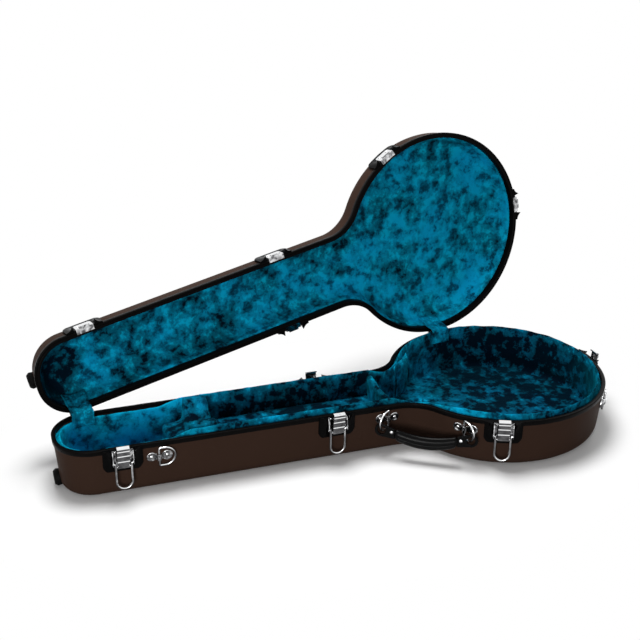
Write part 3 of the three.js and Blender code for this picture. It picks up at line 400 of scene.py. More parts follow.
# the even grain of drawn, moulded and spun surfaces
grain, grain_in, grain_out = new_group(
    "fine_grain", ("Size", "Detail", "Coarseness", "Strength", "Depth"), ("Mask", "Normal"),
)
grain_noise = add_node(grain, "TexNoise", {
    "Vector": texture_place(grain), "Scale": grain_in["Size"], "Detail": grain_in["Detail"],
    "Roughness": grain_in["Coarseness"],
}, "Fac")
grain_bump = add_node(grain, "Bump", {
    "Strength": grain_in["Strength"], "Distance": grain_in["Depth"], "Height": grain_noise,
}, "Normal")
grain.links.new(grain_noise, grain_out["Mask"])
grain.links.new(grain_bump, grain_out["Normal"])


def grained(name, color, roughness, specular, size, detail, strength, depth, coarseness=0.5):
    """A plain finish with the grain group in it, and the group's mask."""
    made, tree, shader = new_material(name, color, roughness, specular=specular)
    placed = add_node(tree, "Group", node_tree=grain)
    values = {"Size": size, "Detail": detail, "Coarseness": coarseness, "Strength": strength, "Depth": depth}
    for value, number in values.items():
        placed.inputs[value].default_value = number
    tree.links.new(placed.outputs["Normal"], shader.inputs["Normal"])
    return made, tree, shader, placed.outputs["Mask"]


trim_black, trim_tree, trim_shader, trim_mask = grained(
    "rim_trim_black", (0.0022, 0.002, 0.002), 0.28, 0.025, 160.0, 6.0, 0.12, 0.0006, 0.65,
)
trim_tree.links.new(spread(trim_tree, trim_mask, 0.35, 0.7, 0.26, 0.42), trim_shader.inputs["Roughness"])


def rounded(profile, radius, steps=3):
    """A closed profile with each corner turned into a small curve."""
    result = []
    for i, corner in enumerate(profile):
        before, after = np.array(profile[i - 1]) - corner, np.array(profile[(i + 1) % len(profile)]) - corner
        lengths = [np.linalg.norm(before), np.linalg.norm(after)]
        reach = min(radius, *(0.45 * length for length in lengths))
        a, b = corner + before / lengths[0] * reach, corner + after / lengths[1] * reach
        for t in np.linspace(0, 1, steps + 1):
            result.append((1 - t) ** 2 * a + 2 * t * (1 - t) * np.array(corner) + t ** 2 * b)
    return result


def wall_frame(spot, z, slope):
    """The frame of a place on the wall: X sideways, Y up the slope, Z straight out, in metres."""
    up = Vector((0, 0, 1))
    side = up.cross(spot["out"])
    out = spot["out"] * math.cos(slope) + up * math.sin(slope)
    rise = out.cross(side)
    turn = Matrix((side, rise, out)).transposed().to_4x4()
    return Matrix.Translation(Vector((spot["x"], spot["y"], z)) * mm) @ turn


slope_angle = math.atan(wall_slope)


def base_wall(spot):
    return wall_frame(spot, rim_z, -slope_angle)


def lid_wall(spot):
    return wall_frame(spot, lid_rim_z, slope_angle)


def neck_spot(x, side):
    share = (x - waist_at_neck[0]) / neck_side[0]
    y = waist_at_neck[1] + neck_side[1] * share
    return {"x": x, "y": side * y, "out": Vector((neck_normal[0], side * neck_normal[1], 0)), "bend": None}


def round_spot(out, radius, x=0.0, y=0.0):
    """A place on a round part of the wall, from the direction to it and the centre of that part."""
    return {"x": x + radius * out.x, "y": y + radius * out.y, "out": out, "bend": radius}


def pot_spot(degrees):
    turn = math.radians(degrees)
    return round_spot(Vector((math.cos(turn), math.sin(turn), 0)), pot_radius)


latch_spots = {
    "latch_peghead": neck_spot(neck_tip_x + 112, -1),
    "latch_neck": neck_spot(waist_at_neck[0] - 121.6, -1),
    "latch_pot": pot_spot(-113.5),
    "latch_tail": pot_spot(0),
    "latch_back": neck_spot(waist_at_neck[0] - 116.6, 1),
}
hinge_spots = {
    "hinge_neck": round_spot(hinge_out, end_radius, *end_centre),
    "hinge_pot": round_spot(hinge_out, pot_radius),
}


def box_points(low, high, place):
    """The corners, in millimetres in the row frame, of a box given in a wall frame."""
    corners = [Vector((x, y, z)) * mm for x in (low[0], high[0]) for y in (low[1], high[1])
               for z in (low[2], high[2])]
    return [np.array(place @ corner) / mm for corner in corners]


def cut_away(piece, boxes, place=Matrix()):
    """Cuts boxes, given by their corners and carried by a place, out of a piece."""
    mesh = bpy.data.meshes.new("cutters")
    work = bmesh.new()
    for corners in boxes:
        found = [work.verts.new(place @ (Vector(corner) * mm)) for corner in corners]
        bmesh.ops.convex_hull(work, input=found)
    work.to_mesh(mesh)
    work.free()
    cutter = place_object("cutters", mesh)
    bpy.context.view_layer.update()
    taking = piece.modifiers.new("notches", "BOOLEAN")
    taking.operation = "DIFFERENCE"
    taking.solver = "EXACT"
    taking.object = cutter
    keep_shape(piece)
    bpy.data.objects.remove(cutter)


def keep_shape(piece):
    """Applies a piece's modifiers, so that its mesh is what is seen."""
    bpy.context.view_layer.update()
    seen = piece.evaluated_get(bpy.context.evaluated_depsgraph_get())
    mesh = bpy.data.meshes.new_from_object(seen)
    piece.modifiers.clear()
    piece.data = mesh


def trim_shape(width, inner, to_z, groove):
    section = [
        (wall_slope * trim_leg_depth, trim_leg_depth), (0, 1.2), (1.2, 0), (width, 0),
        (width + wall_slope * inner, inner), (slot_inner + wall_slope * inner, inner),
        (slot_inner + wall_slope * trim_web_depth, trim_web_depth), (trim_leg, trim_web_depth),
        (trim_leg + wall_slope * trim_leg_depth, trim_leg_depth),
    ]
    if groove:
        middle = width / 2
        section[3:3] = [
            (middle - groove, 0), (middle - groove, groove), (middle + groove, groove), (middle + groove, 0),
        ]
    stations = outline(7)
    return loft([ring(stations, inset, to_z(level)) for inset, level in rounded(section, 0.5, 2)], True)


notch_reach = 20
hinge_notches = [
    box_points(
        (-hinge_half - 2 * clearance, -notch_reach, -(knuckle - hinge_axis_out) - 2 * clearance),
        (hinge_half + 2 * clearance, notch_reach, notch_reach), wall_frame(spot, rim_z, 0),
    ) for spot in hinge_spots.values()
]
keeper_notches = [
    box_points(
        (-keeper_half - clearance, -notch_reach, flange_in - clearance),
        (keeper_half + clearance, guard_gap + keeper_flange + clearance, notch_reach), lid_wall(spot),
    ) for spot in latch_spots.values()
]
base_trim = add_piece(
    "base_rim_channel", trim_shape(base_trim_width, base_trim_inner, lambda level: rim_z - level, 0),
    trim_black, "base", ["base_rim_trim"],
)
cut_away(base_trim, hinge_notches)
lid_trim = add_piece(
    "lid_rim_channel", trim_shape(lid_trim_width, lid_trim_inner, lambda level: lid_rim_z + level, 0.8),
    trim_black, "lid", ["lid_rim_trim"], lid_place,
)
cut_away(lid_trim, hinge_notches + keeper_notches, lid_place)

# Base lining: crushed velvet glued over a padded wall and floor. Its rolled crest stands above the rim
# beside the pocket and round the pot, and drops below it at the peghead and the throat.
velvet_dark = (0.0004, 0.004, 0.011, 1)
velvet_mid = (0.0008, 0.1, 0.18, 1)
velvet_bright = (0.0015, 0.35, 0.58, 1)

# the crushed pile's tone; the group's second input is painted light and shade, which lifts the tone
pile, pile_in, pile_out = new_group("crushed_pile", ("Vector", "Painted_Light"), ("Tone", "Sweep", "Height"))
pile_drift = add_node(pile, "TexNoise", {"Vector": pile_in["Vector"], "Scale": 45.0, "Detail": 3.0}, "Color")
pile_drift = vector_calc(pile, "MULTIPLY", pile_drift, (0.009, 0.009, 0.009))
pile_place = vector_calc(pile, "ADD", pile_in["Vector"], pile_drift)
pile_folds = add_node(pile, "TexNoise", {
    "Vector": pile_place, "Scale": 44.0, "Detail": 6.0, "Roughness": 0.66,
}, "Fac")
pile_areas = add_node(pile, "TexNoise", {"Vector": pile_in["Vector"], "Scale": 15.0, "Detail": 4.0}, "Fac")
pile_fibres = add_node(pile, "TexNoise", {"Vector": pile_in["Vector"], "Scale": 700.0, "Detail": 2.0}, "Fac")
pile_shards = add_node(pile, "TexVoronoi", {"Vector": pile_place, "Scale": 105.0, "Randomness": 1.0}, "Color")
pile_shard_tone = add_node(pile, "SeparateXYZ", {"Vector": pile_shards}, "X")
# painted light and shade: the second input thins the dark spots here and lifts the whole tone below
pile_wave = calc(pile, "MULTIPLY_ADD", pile_in["Painted_Light"], 0.1, pile_folds)
pile_spots = spread(pile, pile_wave, 0.41, 0.59, -0.55, 0.0, interpolation_type="SMOOTHSTEP")
# painted glints: sparse bright flecks at random over the crushed pile
pile_glints = spread(pile, pile_wave, 0.59, 0.74, 0.0, 0.45, interpolation_type="SMOOTHSTEP")
pile_sum = calc(pile, "ADD", pile_spots, pile_glints)
for layer, weight in ((pile_areas, 1.35), (pile_shard_tone, 0.12), (pile_in["Painted_Light"], 0.55)):
    pile_sum = calc(pile, "MULTIPLY_ADD", layer, weight, pile_sum)
pile.links.new(spread(pile, pile_sum, 0.46, 1.46), pile_out["Tone"])
pile.links.new(pile_areas, pile_out["Sweep"])
pile.links.new(calc(pile, "MULTIPLY_ADD", pile_fibres, 0.12, pile_folds), pile_out["Height"])


def add_ramp(tree, factor, stops):
    """The colour of a ramp with the given (place, colour) stops."""
    ramp = add_node(tree, "ValToRGB", {"Fac": factor})
    for k, (place, color) in enumerate(stops):
        stop = ramp.color_ramp.elements[k] if k < 2 else ramp.color_ramp.elements.new(place)
        stop.position = place
        stop.color = color
    return ramp.outputs["Color"]


def velvet(name, painted_brightness, along=(), crest=()):
    """Crushed velvet. Painted brightness is painted light and shade: how much lighter the pile is drawn
    where light would reach it. It may change along X, and a painted highlight lifts it over a crest, given
    by the heights where that begins and ends."""
    made, tree, shader = new_material(name, velvet_mid[:3], 0.85, specular=0.02)
    place = texture_place(tree)
    crushed = add_node(tree, "Group", node_tree=pile)
    tree.links.new(place, crushed.inputs["Vector"])
    crushed.inputs["Painted_Light"].default_value = painted_brightness
    if along:
        spot = add_node(tree, "SeparateXYZ", {"Vector": place}).outputs
        first, last = along[0][0], along[-1][0]
        painted_light_along = add_ramp(tree, spread(tree, spot["X"], first * mm, last * mm), [
            ((x - first) / (last - first), (level, level, level, 1)) for x, level in along
        ])
        if crest:
            painted_light_along = calc(tree, "ADD", painted_light_along, spread(tree, spot["Z"], crest[0] * mm, crest[1] * mm, 0.0, 0.3))
        tree.links.new(painted_light_along, crushed.inputs["Painted_Light"])
    tone = add_ramp(tree, crushed.outputs["Tone"], [(0, velvet_dark), (1, velvet_bright), (0.5, velvet_mid)])
    hue = spread(tree, crushed.outputs["Sweep"], 0.35, 0.65, 0.488, 0.508)
    tint = add_node(tree, "HueSaturation", {"Hue": hue, "Color": tone}, "Color")
    tree.links.new(tint, shader.inputs["Base Color"])
    add_bump(tree, shader, crushed.outputs["Height"], 0.5, 0.004)
    shader.inputs["Sheen Weight"].default_value = 0.2
    shader.inputs["Sheen Roughness"].default_value = 0.4
    shader.inputs["Sheen Tint"].default_value = (0.0, 0.7, 1.0, 1)
    return made


# painted light and shade: the base velvet is drawn bright at the peghead, dark along the pocket, lighter at
# the throat and the pot's left, dark over the pot's middle and tail, and lighter over the crest
base_velvet = velvet("velvet_in_base", 0.3, [
    (-867, 1.0), (-680, 0.85), (-600, 0.35), (-500, 0.1), (-270, 0.14), (-200, 0.52), (-90, 0.42), (0, 0.0),
    (213, 0.0),
], (rim_z - 12, rim_z + 1))
# painted shade and light: the lid velvet is drawn dark at the neck tip, where its end wall shades it, and
# brighter towards the pot, brighter overall than the base's
lid_velvet = velvet("velvet_in_lid", 0.7, [
    (-878, 0.0), (-856, 0.0), (-828, 0.18), (-785, 0.62), (-522, 0.66), (-231, 0.78), (-37, 0.82),
    (170, 0.86),
])
# painted light and shade: the pads' velvet is drawn at one even level of brightness
pad_velvet = velvet("velvet_on_pads", 0.35)


def spline(points, spacing):
    """Points at even steps along a smooth curve through the given ones."""
    points = np.array(points, float)
    ends = np.vstack([2 * points[0] - points[1], points, 2 * points[-1] - points[-2]])
    fine = [points[0]]
    for a, b, c, d in zip(ends, ends[1:], ends[2:], ends[3:]):
        for t in np.linspace(0, 1, 17)[1:]:
            fine.append(0.5 * (
                2 * b + (c - a) * t + (2 * a - 5 * b + 4 * c - d) * t ** 2
                + (3 * b - a - 3 * c + d) * t ** 3
            ))
    fine = np.array(fine)
    along = np.concatenate([[0], np.cumsum(np.linalg.norm(np.diff(fine, axis=0), axis=1))])
    places = np.linspace(0, along[-1], max(2, round(along[-1] / spacing)) + 1)
    return np.stack([np.interp(places, along, fine[:, k]) for k in range(fine.shape[1])], 1)


def filled(loop, spacing):
    """A flat sheet of even triangles inside a level loop."""
    z = loop[0][2]
    edge = loop[:, :2]
    low, high = edge.min(0), edge.max(0)
    rows = np.arange(low[1] + spacing / 2, high[1], spacing * math.sqrt(0.75))
    grid = np.array([
        (x, y) for k, y in enumerate(rows)
        for x in np.arange(low[0] + spacing * (0.5 + k % 2 / 2), high[0], spacing)
    ])
    a, b = edge, np.roll(edge, -1, 0)
    inside = np.zeros(len(grid), bool)
    nearest = np.full(len(grid), 1e9)
    for p, q in zip(a, b):
        if p[1] != q[1]:
            crosses = (p[1] > grid[:, 1]) != (q[1] > grid[:, 1])
            x = p[0] + (grid[:, 1] - p[1]) * (q[0] - p[0]) / (q[1] - p[1])
            inside ^= crosses & (grid[:, 0] < x)
        nearest = np.minimum(nearest, np.hypot(*(grid - p).T))
    kept = grid[inside & (nearest > 0.6 * spacing)]
    count = len(edge)
    points, _, faces, _, _, _ = delaunay_2d_cdt(
        [Vector(p) for p in np.vstack([edge, kept])], [(i, (i + 1) % count) for i in range(count)],
        [list(range(count))], 1, 1e-6,
    )
    return np.array([(p.x, p.y, z) for p in points]), [tuple(f) for f in faces]


def joined(*shapes):
    """Several skins as one list of points and faces."""
    points, faces, start = [], [], 0
    for some, theirs in shapes:
        points.append(np.asarray(some, float))
        faces += [tuple(i + start for i in face) for face in theirs]
        start += len(some)
    return np.vstack(points), faces


def skin_points(piece):
    """The points of a piece's mesh and their normals."""
    points = np.array([vertex.co for vertex in piece.data.vertices])
    return points, np.array([entry.vector for entry in piece.data.vertex_normals])


def set_points(piece, points):
    piece.data.vertices.foreach_set("co", points.astype(np.float32).ravel())
    piece.data.update()


def crumple(piece, depth, size, seed):
    """Raises and sinks a pad's surface in soft folds, as velvet glued over foam has them."""
    shift = np.array((seed, 2.3 * seed, 0.7 * seed))
    points, normals = skin_points(piece)
    folds = np.array([
        noise.turbulence(place, 3, False) - 0.6 + 0.5 * noise.noise(place * 0.4)
        for place in map(Vector, points / (size * mm) + shift)
    ])
    set_points(piece, points + normals * folds[:, None] * depth * mm)


floor_z = shell_wall + clearance + 10
tuck_depth = 7.4
crest_rise = 9
crest_drop = -4
peghead_wall_x = neck_tip_x + 199
rest_back_x = peghead_wall_x + 39
bulkhead_x = waist_at_neck[0] - 7.6
throat_x = waist_at_neck[0] + 27
pot_mouth_x = waist_at_neck[0] + 92
lining_spacing = 4


def lining_inset(depth):
    return wall_inset(depth) + shell_wall + clearance


def crest_height(x):
    places = [neck_tip_x, peghead_wall_x, rest_back_x, bulkhead_x, throat_x, pot_mouth_x, pot_radius]
    heights = [crest_drop, crest_drop, crest_rise, crest_rise, crest_drop, crest_rise, crest_rise]
    return rim_z + np.interp(x, places, heights)


def base_lining_shape():
    stations = outline(lining_spacing)
    crest = crest_height(stations[:, 0])
    bend = base_edge_radius - shell_wall
    straight = base_depth - base_edge_radius
    below = [
        ring(stations, lining_inset(straight) + bend, shell_wall + clearance),
        ring(stations, lining_inset(straight) + 0.3 * bend, shell_wall + clearance + 0.3 * bend),
        ring(stations, lining_inset(straight), rim_z - straight),
        ring(stations, lining_inset(6.3), rim_z - 8.9),
    ]
    # the crest, as (inset, depth under its top), then the wall, as (inset, share of the way down)
    roll = spline([(8.3, 6.0), (10.6, 3.8), (13.0, 1.2), (14.7, 0), (16.2, 1.0), (17.2, 4.0)], 1.6)
    roll_depth = roll[0][1]
    low = np.minimum(crest - roll_depth, rim_z - tuck_depth)
    for inset, drop in roll:
        share = min(1, drop / roll_depth)
        below.append(ring(stations, inset, np.where(
            inset < 12, crest * (1 - share) + low * share, crest - drop,
        )))
    wall = spline([(17.2, 0), (18.1, 0.3), (18.6, 0.65), (18.2, 1)], 1 / (16))
    foot = 7
    for inset, share in wall[1:]:
        below.append(ring(stations, inset, (crest - roll[-1][1]) * (1 - share) + (floor_z + foot) * share))
    for angle in np.linspace(0, math.pi / 2, 4)[1:]:
        below.append(ring(
            stations, wall[-1][0] + foot * (1 - math.cos(angle)), floor_z + foot * (1 - math.sin(angle)),
        ))
    points, faces = loft(below)
    return joined((points, faces[:-1]), filled(below[-1], lining_spacing))


base_lining = add_piece(
    "base_padding", base_lining_shape(), base_velvet, "base", ["base_lining"], sharp=180,
)
crumple(base_lining, 0.9, 22, 1)

# Lid lining: the same velvet over a thinner pad, with its rolled edge tucked behind the lid's rim channel.
lid_pad = 8
lid_ceiling = lid_depth - shell_wall - clearance


def lid_lining_shape():
    stations = outline(lining_spacing)
    bend = lid_edge_radius - shell_wall
    straight = lid_depth - lid_edge_radius
    hidden = [
        (lining_inset(straight) + bend, lid_ceiling),
        (lining_inset(straight) + 0.3 * bend, lid_ceiling - 0.3 * bend),
        (lining_inset(straight), straight), (lining_inset(12.3), 12.6),
    ]
    seen = spline([
        (7.4, 12.6), (10.2, 12.5), (12.8, 13.9), (14.8, 17.2), (16.4, 25), (20, 34.5), (27, 42.4),
        (37, lid_ceiling - lid_pad),
    ], lining_spacing * 0.7)
    loops = [ring(stations, inset, lid_rim_z + level) for inset, level in [*hidden, *seen]]
    points, faces = loft(loops)
    return joined((points, faces[:-1]), filled(loops[-1], lining_spacing))


lid_lining = add_piece(
    "lid_padding", lid_lining_shape(), lid_velvet, "lid", ["lid_lining"], lid_place, sharp=180,
)
crumple(lid_lining, 1.0, 24, 4)


# Padded blocks in the base: the neck rest with its saddle and low wing, the bulkhead at the end of the
# pocket, and a bolster in each waist. Each is foam in a velvet cover, glued to the lining under it.
def swell(piece, tuck, cap):
    """Swells a velvet cover over its foam by cloth simulation. It starts a little smaller than the pad and
    a little too wide for it, and no point ends further than the cap from where it began."""
    start, normals = skin_points(piece)
    start = start - normals * tuck * mm
    set_points(piece, start)
    cover = piece.modifiers.new("cover", "CLOTH")
    cover.settings.quality = 6
    cover.settings.use_pressure = True
    cover.settings.uniform_pressure_force = 4.0
    cover.settings.shrink_min = -0.05
    cover.settings.effector_weights.gravity = 0.0
    for step in range(1, 21):
        bpy.context.scene.frame_set(step)
    keep_shape(piece)
    bpy.context.scene.frame_set(1)
    way = skin_points(piece)[0] - start
    length = np.linalg.norm(way, axis=1, keepdims=True)
    set_points(piece, start + way * np.minimum(1, cap * mm / np.maximum(length, 1e-9)))
    finer = piece.modifiers.new("finer", "SUBSURF")
    finer.levels = 1
    finer.render_levels = 1
    keep_shape(piece)


def padded_block(name, node, voxel, rounds, material, body, seed):
    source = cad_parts[node]
    mesh = source.data.copy()
    mesh.materials.clear()
    mesh.materials.append(material)
    piece = place_object(name, mesh)
    cover = piece.modifiers.new("cover", "REMESH")
    cover.mode = "VOXEL"
    cover.voxel_size = voxel * mm
    ease = piece.modifiers.new("ease", "SMOOTH")
    ease.factor = 0.5
    ease.iterations = rounds
    keep_shape(piece)
    swell(piece, 3.0, 3.8)
    piece.data.shade_smooth()
    crumple(piece, 0.8, 18, seed)
    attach(piece, body)
    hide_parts(node)
    return piece


padded_block("neck_rest_pad", "neck_rest", 4.5, 3, pad_velvet, "base", 7)
padded_block("bulkhead_pad", "pocket_bulkhead", 4, 2, pad_velvet, "base", 8)
padded_block("waist_bolster_pad_front", "waist_bolster_front", 4.5, 3, pad_velvet, "base", 9)
padded_block("waist_bolster_pad_back", "waist_bolster_back", 4.5, 3, base_velvet, "base", 10)

# Pocket lid: a board wrapped in the same velvet, with a little foam over it. It swings up on a cloth
# hinge along its back edge.
padded_block("pocket_lid_pad", "pocket_lid", 2, 3, base_velvet, "pocket_lid", 11)


# Hinge covers: gathered flaps of the lining's velvet, sewn to both linings. They hide the hinges.
cover_half = 22
cover_play = 2.7
cover_side = 17 + 1.2 + cover_play
lid_roll = 2.4


def hinge_cover(name, spot, node, seed):
    top = lid_trim_width + hinge_axis_out + cover_play
    edge = lid_trim_inner + clearance
    line = spline([
        (-cover_side, -18), (-cover_side, 6.4), (-cover_side + 3, crest_rise + cover_play), (-12.2, top),
        (0, top), (edge, top + clearance), (edge + 2 * lid_roll, top + lid_roll + 1.2),
        (36, top + lid_roll + 5),
    ], 1.5)
    across = np.linspace(-1, 1, 41)
    inner = spot["bend"] - cover_side
    place = wall_frame(spot, rim_z, 0)
    rows = []
    for k, (out, up) in enumerate(line):
        share = k / (len(line) - 1)
        on_lid = out > -12
        puff = math.sin(math.pi * share)
        before, after = line[max(k - 1, 0)], line[min(k + 1, len(line) - 1)]
        normal = np.array([-(after[1] - before[1]), after[0] - before[0]])
        normal = normal / np.linalg.norm(normal)
        row = []
        for a in across:
            edge_wave = 1.1 * noise.noise(Vector((share * 7, seed + math.copysign(3, a), 0)))
            side = a * (cover_half + edge_wave - 2.2 * puff)
            sag = inner - math.sqrt(inner ** 2 - side ** 2)
            pucker = noise.noise(Vector((a * 4.6 + seed, share * 3.2, 0)))
            crease = noise.noise(Vector((a * 10 + seed, share * 6, 5)))
            lift = 2.4 * pucker * (0.35 + 0.65 * puff) + 0.9 * crease - 0.9 * abs(a) ** 4
            row.append((
                side, up + normal[1] * lift + (sag if on_lid else 0),
                out + normal[0] * lift - (0 if on_lid else sag),
            ))
        rows.append(row)
    count = len(across)
    faces = [
        (r * count + i, r * count + i + 1, (r + 1) * count + i + 1, (r + 1) * count + i)
        for r in range(len(rows) - 1) for i in range(count - 1)
    ]
    piece = add_piece(
        name, (np.array(rows).reshape(-1, 3), faces), flap_velvet, None, [node], place, sharp=180,
    )
    thick = piece.modifiers.new("thick", "SOLIDIFY")
    thick.thickness = 1.6 * mm
    thick.offset = 0
    keep_shape(piece)
    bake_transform(piece)


# painted light: the flaps' velvet is drawn brighter than the pads'
flap_velvet = velvet("velvet_in_flaps", 0.6)
for hinge_name, seed in (("hinge_neck", 2.0), ("hinge_pot", 6.0)):
    hinge_cover(f"{hinge_name}_flap", hinge_spots[hinge_name], f"{hinge_name}_cover", seed)

# Latch guards: black moulded plates under each latch. Two ears stand up beside the chrome, highest at the
# rim, where the base guard and the lid guard meet when the case is shut.
guard_wall_seat = -shell_inset + clearance
guard_thickness = 2.6
guard_half = 34.5
seat_half = 19.4
ear_peak = 20.8
ear_height = 12.5
ear_rim = 3.2
ear_rise = 2.3
ear_mid_rise = 1.7
guard_corner = 0.22
corner_share = 0.65
guard_round = 1.3
base_guard_height = 46
lid_guard_height = 38
guard_black = grained("guard_black", (0.0015, 0.0015, 0.0016), 0.2, 0.025, 240.0, 5.0, 0.15, 0.0005)[0]


def guard_shape(spot, height, up, seat_gap):
    """A guard from side to side: each flank rises to an ear, and the latch's seat between them is flat."""
    # each station: side, how far out at the rim and halfway, how tall, and the gap between the guards
    half = [(
        guard_half + (ear_peak - guard_half) * t,
        ear_rim + (ear_height - ear_rim) * t ** ear_rise,
        ear_rim + (ear_height / 2 - ear_rim) * t ** ear_mid_rise,
        height * (1 - guard_corner * max(0, 1 - t / corner_share) ** 2),
        guard_gap,
    ) for t in np.linspace(0, 1, 12)]
    seat = (seat_half, guard_thickness, guard_thickness, height, seat_gap)
    half.append(seat)
    across = [(-side, *rest) for side, *rest in half] + [(0, *seat[1:])] + half[::-1]
    step = trim_leg_depth + 2 * clearance
    radius = spot["bend"]
    loops = []
    for side, rim, mid, tall, gap in across:
        depths = np.linspace(gap, tall - guard_round, 9)
        along = (depths - depths[0]) / (depths[-1] - depths[0])
        middle = (height / 3 - depths[0]) / (depths[-1] - depths[0])
        rise = (mid - guard_thickness) / max(rim - guard_thickness, 0.01)
        fall = math.log(min(max(rise, 0.02), 0.95)) / math.log(1 - middle)
        outs = guard_thickness + (rim - guard_thickness) * (1 - along) ** fall
        section = [
            (gap, clearance), *zip(depths, outs), (tall, guard_thickness / 2), (tall, guard_wall_seat),
            (step, guard_wall_seat), (step, clearance),
        ]
        turn = side / radius if radius else 0
        side, back = (radius * math.sin(turn), radius * (math.cos(turn) - 1)) if radius else (side, 0)
        loops.append(np.array([
            (side + out * math.sin(turn), up * depth, back + out * math.cos(turn)) for depth, out in section
        ]))
    return loft(loops)


for latch, spot in latch_spots.items():
    add_piece(
        f"{latch}_lower_guard", guard_shape(spot, base_guard_height, -1, guard_gap), guard_black,
        "base", [f"{latch}_base_guard"], base_wall(spot), bevel=0.5,
    )
    upper = guard_shape(spot, lid_guard_height, 1, guard_gap + keeper_flange + clearance)
    add_piece(
        f"{latch}_upper_guard", upper, guard_black, "lid", [f"{latch}_lid_guard"],
        lid_place @ lid_wall(spot), bevel=0.5,
    )

# Latches: chrome plates whose ears carry a swinging wire bail. The bail's cross pin lifts a ribbed claw
# over the upturned lip of the keeper, which is riveted to the lid.
# painted reflection: these tones of the plating stand in for the dark and light surroundings it reflects
chrome_painted_shade = (0.01, 0.01, 0.011, 1)
chrome_painted_grey = (0.16, 0.16, 0.165, 1)
chrome_painted_highlight = (0.86, 0.87, 0.88, 1)


def plating(name, size, contrast):
    """Bright plating with a painted reflection: its colour is light where it faces up, dark where it faces
    down, and in soft uneven patches, standing in for what the plating would reflect.
    """
    made, tree, shader = new_material(name, chrome_painted_highlight[:3], 0.12, metallic=1.0)
    ripples_and_painted_reflection = add_node(tree, "TexNoise", {
        "Vector": texture_place(tree), "Scale": size, "Detail": 2.0, "Roughness": 0.5, "Distortion": 0.6,
    }, "Fac")
    facing = add_node(tree, "SeparateXYZ", {"Vector": add_node(tree, "NewGeometry", None, "Normal")}, "Z")
    # painted reflection: the noise patches and the upward facing set how light the plating is drawn
    level = calc(tree, "MULTIPLY_ADD", ripples_and_painted_reflection, contrast, 0.55 - 0.5 * contrast)
    tone = add_ramp(tree, calc(tree, "MULTIPLY_ADD", facing, 0.7, level), [
        (0.3, chrome_painted_shade), (0.88, chrome_painted_highlight), (0.55, chrome_painted_grey),
    ])
    tree.links.new(tone, shader.inputs["Base Color"])
    tree.links.new(spread(tree, ripples_and_painted_reflection, 0.35, 0.7, 0.2, 0.07), shader.inputs["Roughness"])
    add_bump(tree, shader, ripples_and_painted_reflection, 0.3, 0.0012)
    return made


chrome = plating("chrome_plate", 120.0, 1.1)
claw_chrome = plating("chrome_claw", 90.0, 0.3)
wire_chrome = plating("chrome_wire", 60.0, 0.5)

bail_pivot_up = -27
bail_pivot_out = 8.2
bail_wire = 2.1
bail_half = 13.8
bail_reach = 50
crank_arm = 6
crank_pin = 1.6
plate_half = 18.2
ear_sheet = 1.2
shoulder_radius = 2.4
plate_face = clearance + guard_thickness + 1.2
plate_rivets = [(side * 12.5, up, plate_face) for side in (-1, 1) for up in (-5.5, -33.0)]
keeper_rivets = [(side * 9.5, 16, plate_face) for side in (-1, 1)]


def restyle(node, material, rounding=0.3):
    """A CAD node that keeps its shape and gets its real finish and softened edges."""
    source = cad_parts[node]
    source.data.materials.clear()
    source.data.materials.append(material)
    soften(source, rounding)


def wire(points, radius, closed=False, sides=14):
    """A round wire through points, as a skin whose section keeps its turn from point to point."""
    points = [Vector(p) for p in points]
    count = len(points)
    loops, normal = [], None
    for i, point in enumerate(points):
        before = points[i - 1] if closed or i else points[0]
        after = points[(i + 1) % count] if closed or i < count - 1 else points[-1]
        along = (after - before).normalized()
        if normal is None:
            normal = along.orthogonal().normalized()
        normal = (normal - along * normal.dot(along)).normalized()
        across = along.cross(normal)
        loops.append(np.array([
            point + radius * (math.cos(a) * normal + math.sin(a) * across)
            for a in np.linspace(0, 2 * math.pi, sides, endpoint=False)
        ]))
    return loft(loops, closed)


def turned(profile, sides=32):
    """A round piece from (radius, height) points, about the local Z axis."""
    angles = np.linspace(0, 2 * math.pi, sides, endpoint=False)
    loops = [
        np.stack([r * np.cos(angles), r * np.sin(angles), np.full(sides, float(h))], 1) for r, h in profile
    ]
    return loft(loops)


def moved(shape, matrix):
    """A skin carried by a matrix in millimetres."""
    points, faces = shape
    return np.array([matrix @ Vector(p) for p in points]), faces


def rivet(radius, height):
    """A domed rivet head that stands on the plane z = 0."""
    angles = np.linspace(0, math.pi / 2, 6)
    profile = [(radius, -0.4), *((radius * math.cos(a), height * math.sin(a)) for a in angles[:-1])]
    return turned([*profile, (0.12 * radius, height)], 20)


def rivets(radius, height, places, turn=Matrix()):
    """Rivet heads at the given places, as one skin."""
    return joined(*(moved(rivet(radius, height), Matrix.Translation(place) @ turn) for place in places))


def arc_points(radius, start, end, count, centre=(0, 0)):
    """Points on an arc, from one angle to another."""
    return [
        (centre[0] + radius * math.cos(a), centre[1] + radius * math.sin(a))
        for a in np.linspace(start, end, count)
    ]


def add_rivets(name, shape, body, place):
    add_piece(name, shape, chrome, body, (), place)


def bail_shape():
    shoulder_centre = (-bail_half - shoulder_radius, -shoulder_radius)
    shoulder = arc_points(shoulder_radius, math.pi / 2, 0, 5, shoulder_centre)
    left = [(-plate_half - ear_sheet / 2, 0), *shoulder]
    bow = arc_points(bail_half, math.pi, 2 * math.pi, 25, (0, bail_half - bail_reach))
    right = [(-x, y) for x, y in left[::-1]]
    loop = wire([(x, y, 0) for x, y in [*left, *bow, *right]], bail_wire)
    pin = wire([(x, -crank_arm, 0) for x in (-bail_half, 0, bail_half)], crank_pin)
    heads = [
        rivets(3.1, 0.7, [(side * (plate_half + 0.15), 0, 0)], Matrix.Rotation(side * math.pi / 2, 4, "Y"))
        for side in (-1, 1)
    ]
    return joined(loop, pin, *heads)


